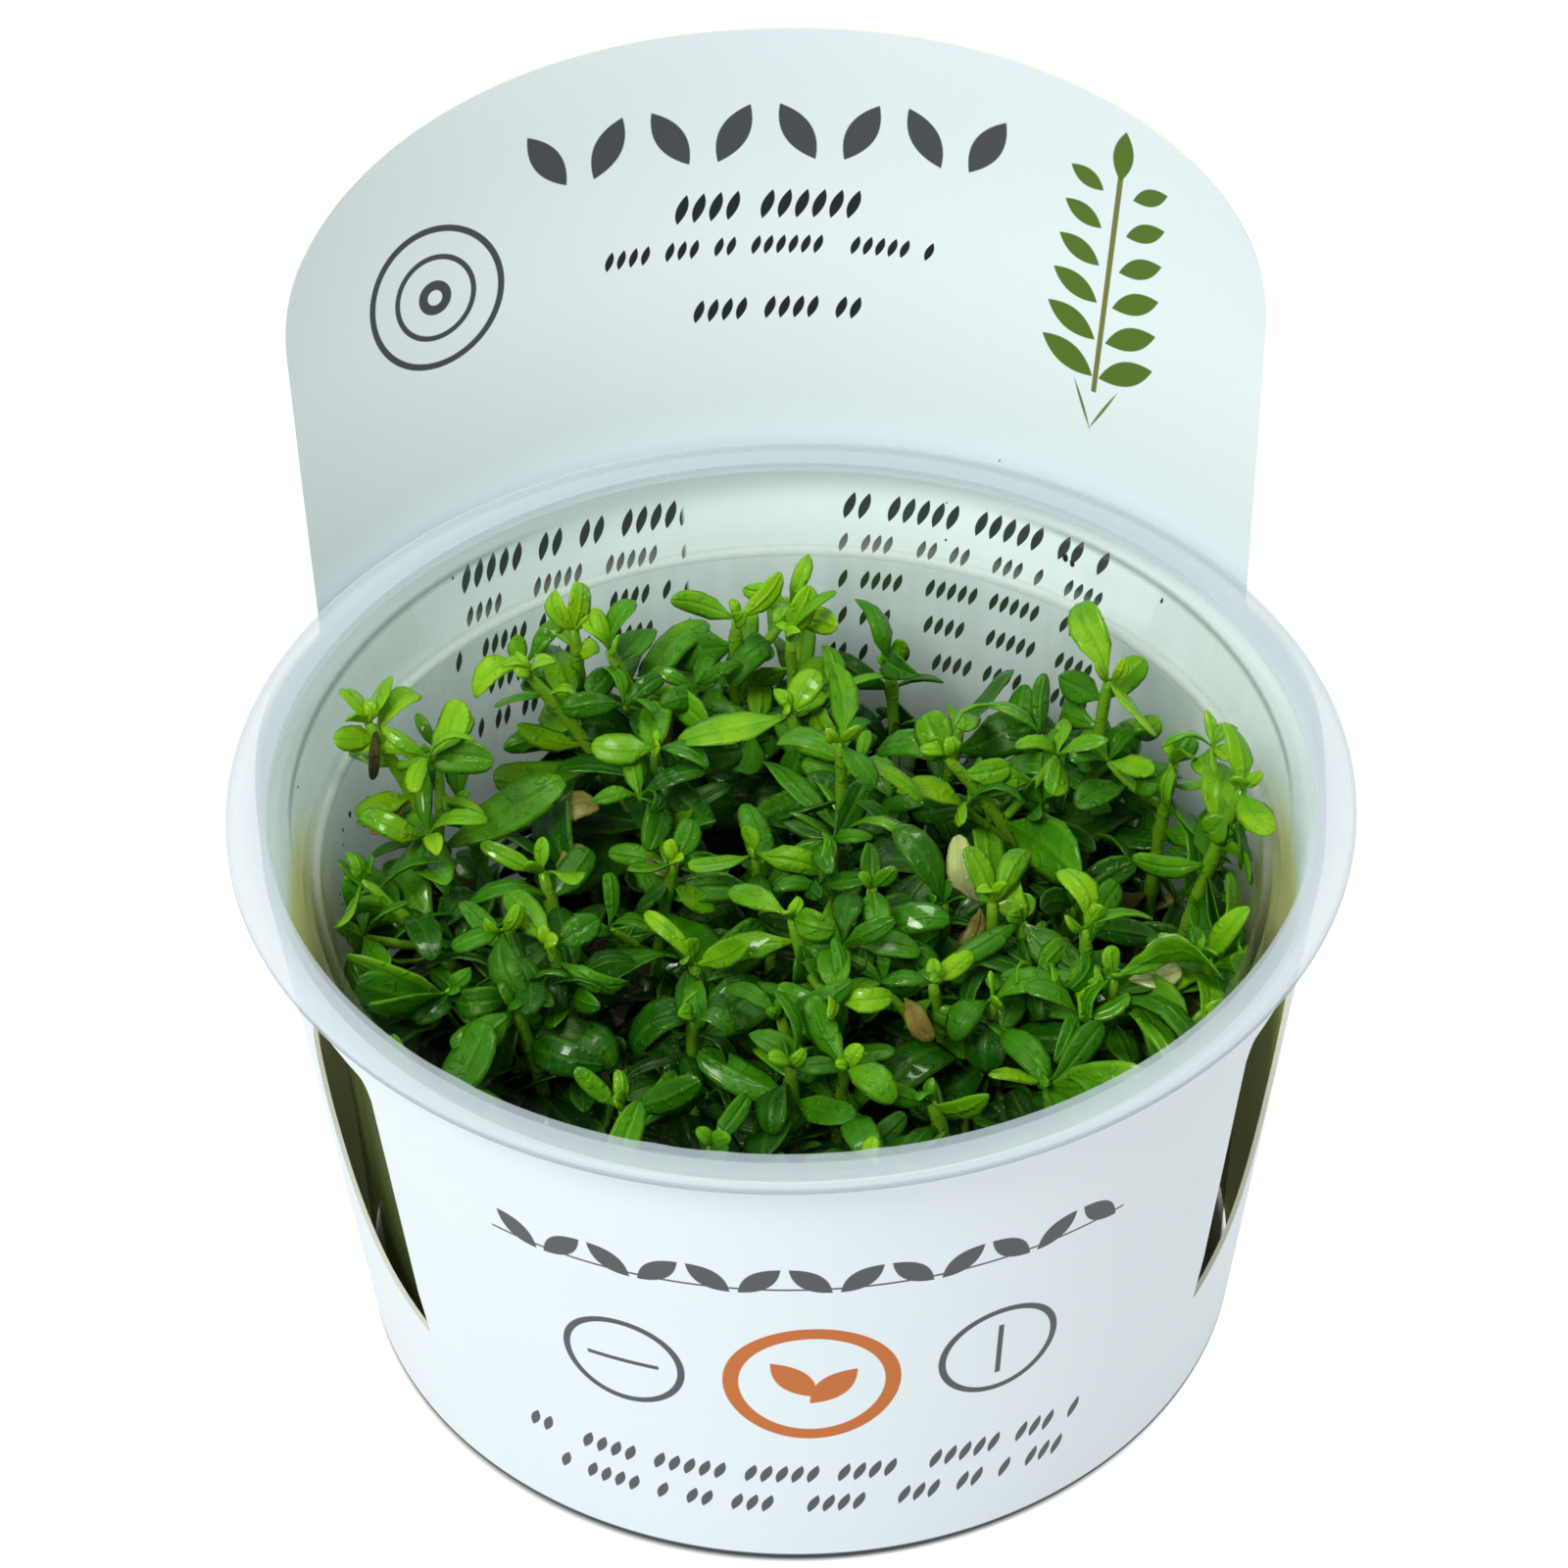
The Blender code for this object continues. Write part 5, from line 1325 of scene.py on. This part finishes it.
def growShoot(number, entry, material):
    rng = random.Random(growth["seed"] + number)
    shift = rng.uniform(-growth["shootSpread"], growth["shootSpread"])
    shape = bmesh.new()
    layers = {name: shape.verts.layers.float.new(name) for name in ("along", "across", "tone", "age")}
    samples = stemSamples(entry)
    length = sum((b - a).length for a, b in zip(samples, samples[1:]))
    crown = entry["crown"]
    nodes = []
    for drop, leaves in entry["nodes"]:
        nodes.append((stemPoint(entry, max(1 - drop / length, growth["leastAlong"])), leaves))
    lower, sideLeaves = lowerNodes(shape, layers, entry, length, rng)
    nodes += lower
    swells = [(place, stem["nodeSwell"] * mm) for place, leaves in nodes]
    count = max(int(length / (stem["segment"] * mm)), stem["fewest"])
    points = [stemPoint(entry, step / count) for step in range(count + 1)]
    addStem(shape, layers, points, stem["footRadius"] * mm, stem["topRadius"] * mm, swells,
            toneAt(crown.z, rng, shift))
    for base, tip, width in sideLeaves:
        addLeaf(shape, layers, base, tip, width, facingFor(rng), rng, toneAt(tip.z, rng, shift))
    swung, risen = growth["swing"], growth["swingRise"]
    for level, (place, leaves) in enumerate(nodes):
        hidden = level > growth["shownLevels"]
        for tip, width in pairedTips(place, leaves):
            if hidden or number > len(leadingShoots):
                swing = Matrix.Rotation(rng.uniform(-swung, swung), 3, 'Z') @ (tip - place)
                swing *= rng.uniform(*growth["swingSpan"])
                swing.z += rng.uniform(-risen, risen) * mm
                tip = insideCup(place + swing, growth["swingMargin"] * mm)
                width = (tip - place).length * rng.uniform(*growth["leafShape"])
            tone = toneAt(tip.z, rng, shift)
            aged = hidden and rng.random() < growth["aged"]
            age = rng.uniform(*growth["agedBy"]) if aged else 0.0
            addLeaf(shape, layers, place, tip, width, facingFor(rng), rng, tone, age)
    for base, tip, width in entry["wallLeaves"]:
        facing = Vector((tip.x, tip.y, 0)).normalized() + facingFor(rng) * growth["wallLean"]
        addLeaf(shape, layers, base, tip, width, facing, rng, toneAt(tip.z, rng, shift))
    for owner, base, tip, width, age in oldLeaves:
        if owner == number:
            ends = [seenAt(across, down, height * mm) for across, down, height in (base, tip)]
            addLeaf(shape, layers, *ends, width * mm, facingFor(rng), rng, growth["oldTone"], age)
    first = entry["nodes"][0][1][0][0] - crown
    heading = (samples[-1] - samples[-2]).normalized()
    bearing = math.atan2(first.y, first.x) + math.pi / 2
    addBud(shape, layers, crown, heading, bearing, rng, toneAt(crown.z, rng, shift))
    bmesh.ops.recalc_face_normals(shape, faces=shape.faces)
    smoothShape(shape)
    addPiece("leafyShoot_%02d" % number, shape, [material], "young_green", "shoot_%02d" % number)


# the ramps run from dark to light leaves, the darker ones older or lower down in painted shade, and from
# green to dry
leafLook = {
    "greens": ((0.0, (0.002, 0.030, 0.001)), (0.30, (0.009, 0.090, 0.001)), (0.60, (0.042, 0.220, 0.002)),
               (1.0, (0.190, 0.500, 0.006))),
    "fading": ((0.0, (0.06, 0.16, 0.01)), (0.35, (0.46, 0.52, 0.19)), (0.70, (0.17, 0.13, 0.022)),
               (1.0, (0.030, 0.018, 0.008))),
    "tender": (0.30, 0.53, 0.004), "rib": (0.20, 0.44, 0.02),
    "stems": ((0.13, 0.40, 0.012), (0.25, 0.53, 0.022)),
    "gloss": 0.38, "glossTint": (0.68, 1.0, 0.45, 1.0), "wetness": 0.65, "bumps": (0.5, 0.0003),
    "light": (0.08, 0.30, 0.003), "lightShare": 0.22,
    "mottleScale": 700.0, "shiftScale": 150.0, "wetScale": 320.0, "dropScale": 1100.0,
}


def leafFinish():
    graph = Graph("youngLeaf")
    place = graph.place()
    read = {name: graph.make('ShaderNodeAttribute', {"attribute_name": name}, output=2)
            for name in ("along", "across", "tone", "age")}
    blade = graph.ease(read["along"], -0.5, -0.1)
    mottle = graph.noise(place, leafLook["mottleScale"], 3.0, 0.6)
    shift = graph.noise(place, leafLook["shiftScale"], 2.0)
    tone = graph.clamp(read["tone"] + (mottle - 0.5) * 0.25 + (shift - 0.5) * 0.35)
    colour = graph.make('ShaderNodeValToRGB', {"stops": leafLook["greens"]}, {0: tone})
    tender = graph.ease(tone, 0.62, 1.0) * graph.ease(shift, 0.48, 0.62)
    colour = graph.mixed(tender * 0.5, colour, leafLook["tender"])
    rib = graph.ease(abs(read["across"]), 0.26, 0.0) * blade
    rim = graph.ease(abs(read["across"]), 0.72, 1.0) * blade
    colour = graph.mixed(graph.clamp(rib * 0.10 + rim * 0.22), colour, leafLook["rib"])
    wet = graph.ease(graph.noise(place, leafLook["wetScale"], 2.0), 0.52, 0.64)
    colour = graph.mixed((1 - blade) * 0.85, colour, graph.mixed(mottle, *leafLook["stems"]))
    spotty = graph.clamp(read["age"] + (mottle - 0.5) * 0.5 * read["age"])
    faded = graph.make('ShaderNodeValToRGB', {"stops": leafLook["fading"]}, {0: spotty})
    colour = graph.mixed(graph.ease(read["age"], 0.0, 0.2), colour, faded)
    drops = graph.ease(graph.noise(place, leafLook["dropScale"], 1.0), 0.58, 0.72)
    bumps = graph.bump(mottle * 0.5 + rib * -0.8 + shift + drops * 0.8, *leafLook["bumps"])
    gloss = graph.make('ShaderNodeBsdfPrincipled', {}, {
        "Base Color": colour, "Roughness": 0.32 + mottle * 0.18 - wet * 0.20,
        "Specular IOR Level": leafLook["gloss"], "Specular Tint": leafLook["glossTint"],
        "Coat Weight": wet * leafLook["wetness"], "Coat Roughness": 0.05, "Normal": bumps})
    through = graph.make('ShaderNodeBsdfTranslucent', {}, {"Color": leafLook["light"]})
    blend = {0: leafLook["lightShare"], 1: gloss, 2: through}
    return graph.finish(graph.make('ShaderNodeMixShader', {}, blend))


studio = {
    # the floor's zones are radii in mm: painted shade under the cup, aglow outside the card
    "floorColour": (0.36, 0.36, 0.36), "floorGrain": (0.30, 0.31, 0.33), "shadeUnderCup": (0.03, 0.04, 0.015),
    "dark": (39.9, 39.2), "aglow": (40.3, 41.2), "floorReach": 4.0, "aimHeight": 0.04,
    "worldColour": (1.0, 0.985, 0.94), "worldStrength": 0.29,
    "floorGlow": 0.95, "lights": (
        ("keySoftbox", (-0.46, -0.60, 1.05), 0.42, 11.2, (1.0, 0.99, 0.96)),
        ("topSoftbox", (0.10, 0.20, 0.95), 0.40, 4.4, (1.0, 0.99, 0.96)),
    ),
}


def makeStudio():
    graph = Graph("studioFloor")
    grain = graph.noise(graph.place(), 40.0, 2.0)
    colour = graph.mixed(grain * 0.02, studio["floorColour"], studio["floorGrain"])
    x, y = graph.parts(graph.place())[:2]
    reach = (x * x + y * y) ** 0.5
    # painted shade on the floor under the cup
    colour = graph.mixed(graph.fade(reach, studio["dark"]), colour, studio["shadeUnderCup"])
    glow = graph.mixed(graph.fade(reach, studio["aglow"]), (0.0, 0.0, 0.0), (1.0, 1.0, 1.0))
    material = graph.finish(graph.make('ShaderNodeBsdfPrincipled', {}, {
        "Base Color": colour, "Roughness": 0.9, "Emission Color": glow,
        "Emission Strength": studio["floorGlow"]}))
    shape = bmesh.new()
    bmesh.ops.create_grid(shape, x_segments=2, y_segments=2, size=studio["floorReach"])
    mesh = bpy.data.meshes.new("studioFloor")
    shape.to_mesh(mesh)
    shape.free()
    mesh.materials.append(material)
    floor = bpy.data.objects.new("studioFloor", mesh)
    bpy.context.scene.collection.objects.link(floor)
    world = bpy.data.worlds.new("studioWorld")
    world.use_nodes = True
    sky = world.node_tree.nodes["Background"]
    sky.inputs["Color"].default_value = (*studio["worldColour"], 1.0)
    sky.inputs["Strength"].default_value = studio["worldStrength"]
    bpy.context.scene.world = world
    for name, place, size, power, colour in studio["lights"]:
        light = bpy.data.lights.new(name, 'AREA')
        light.size = size
        light.energy = power
        light.color = colour
        lamp = bpy.data.objects.new(name, light)
        aim = Vector((0, 0, studio["aimHeight"])) - Vector(place)
        turn = aim.to_track_quat('-Z', 'Y').to_matrix().to_4x4()
        lamp.matrix_world = Matrix.Translation(place) @ turn
        bpy.context.scene.collection.objects.link(lamp)
    bpy.context.scene.view_settings.view_transform = 'Standard'


makeStudio()
print("studio ready")
makeCup(cupPlastic())
print("cup turned")
makeGel(gelFinish())
makeCrumbs(crumbFinish())
print("gel and crumbs laid")
makeSleeve([cardOutside(), cardInside(), cardEdge()])
print("sleeve cut")
leafMaterial = leafFinish()
for number, entry in enumerate(growToWall(standOfShoots()), 1):
    growShoot(number, entry, leafMaterial)
print("stand grown")
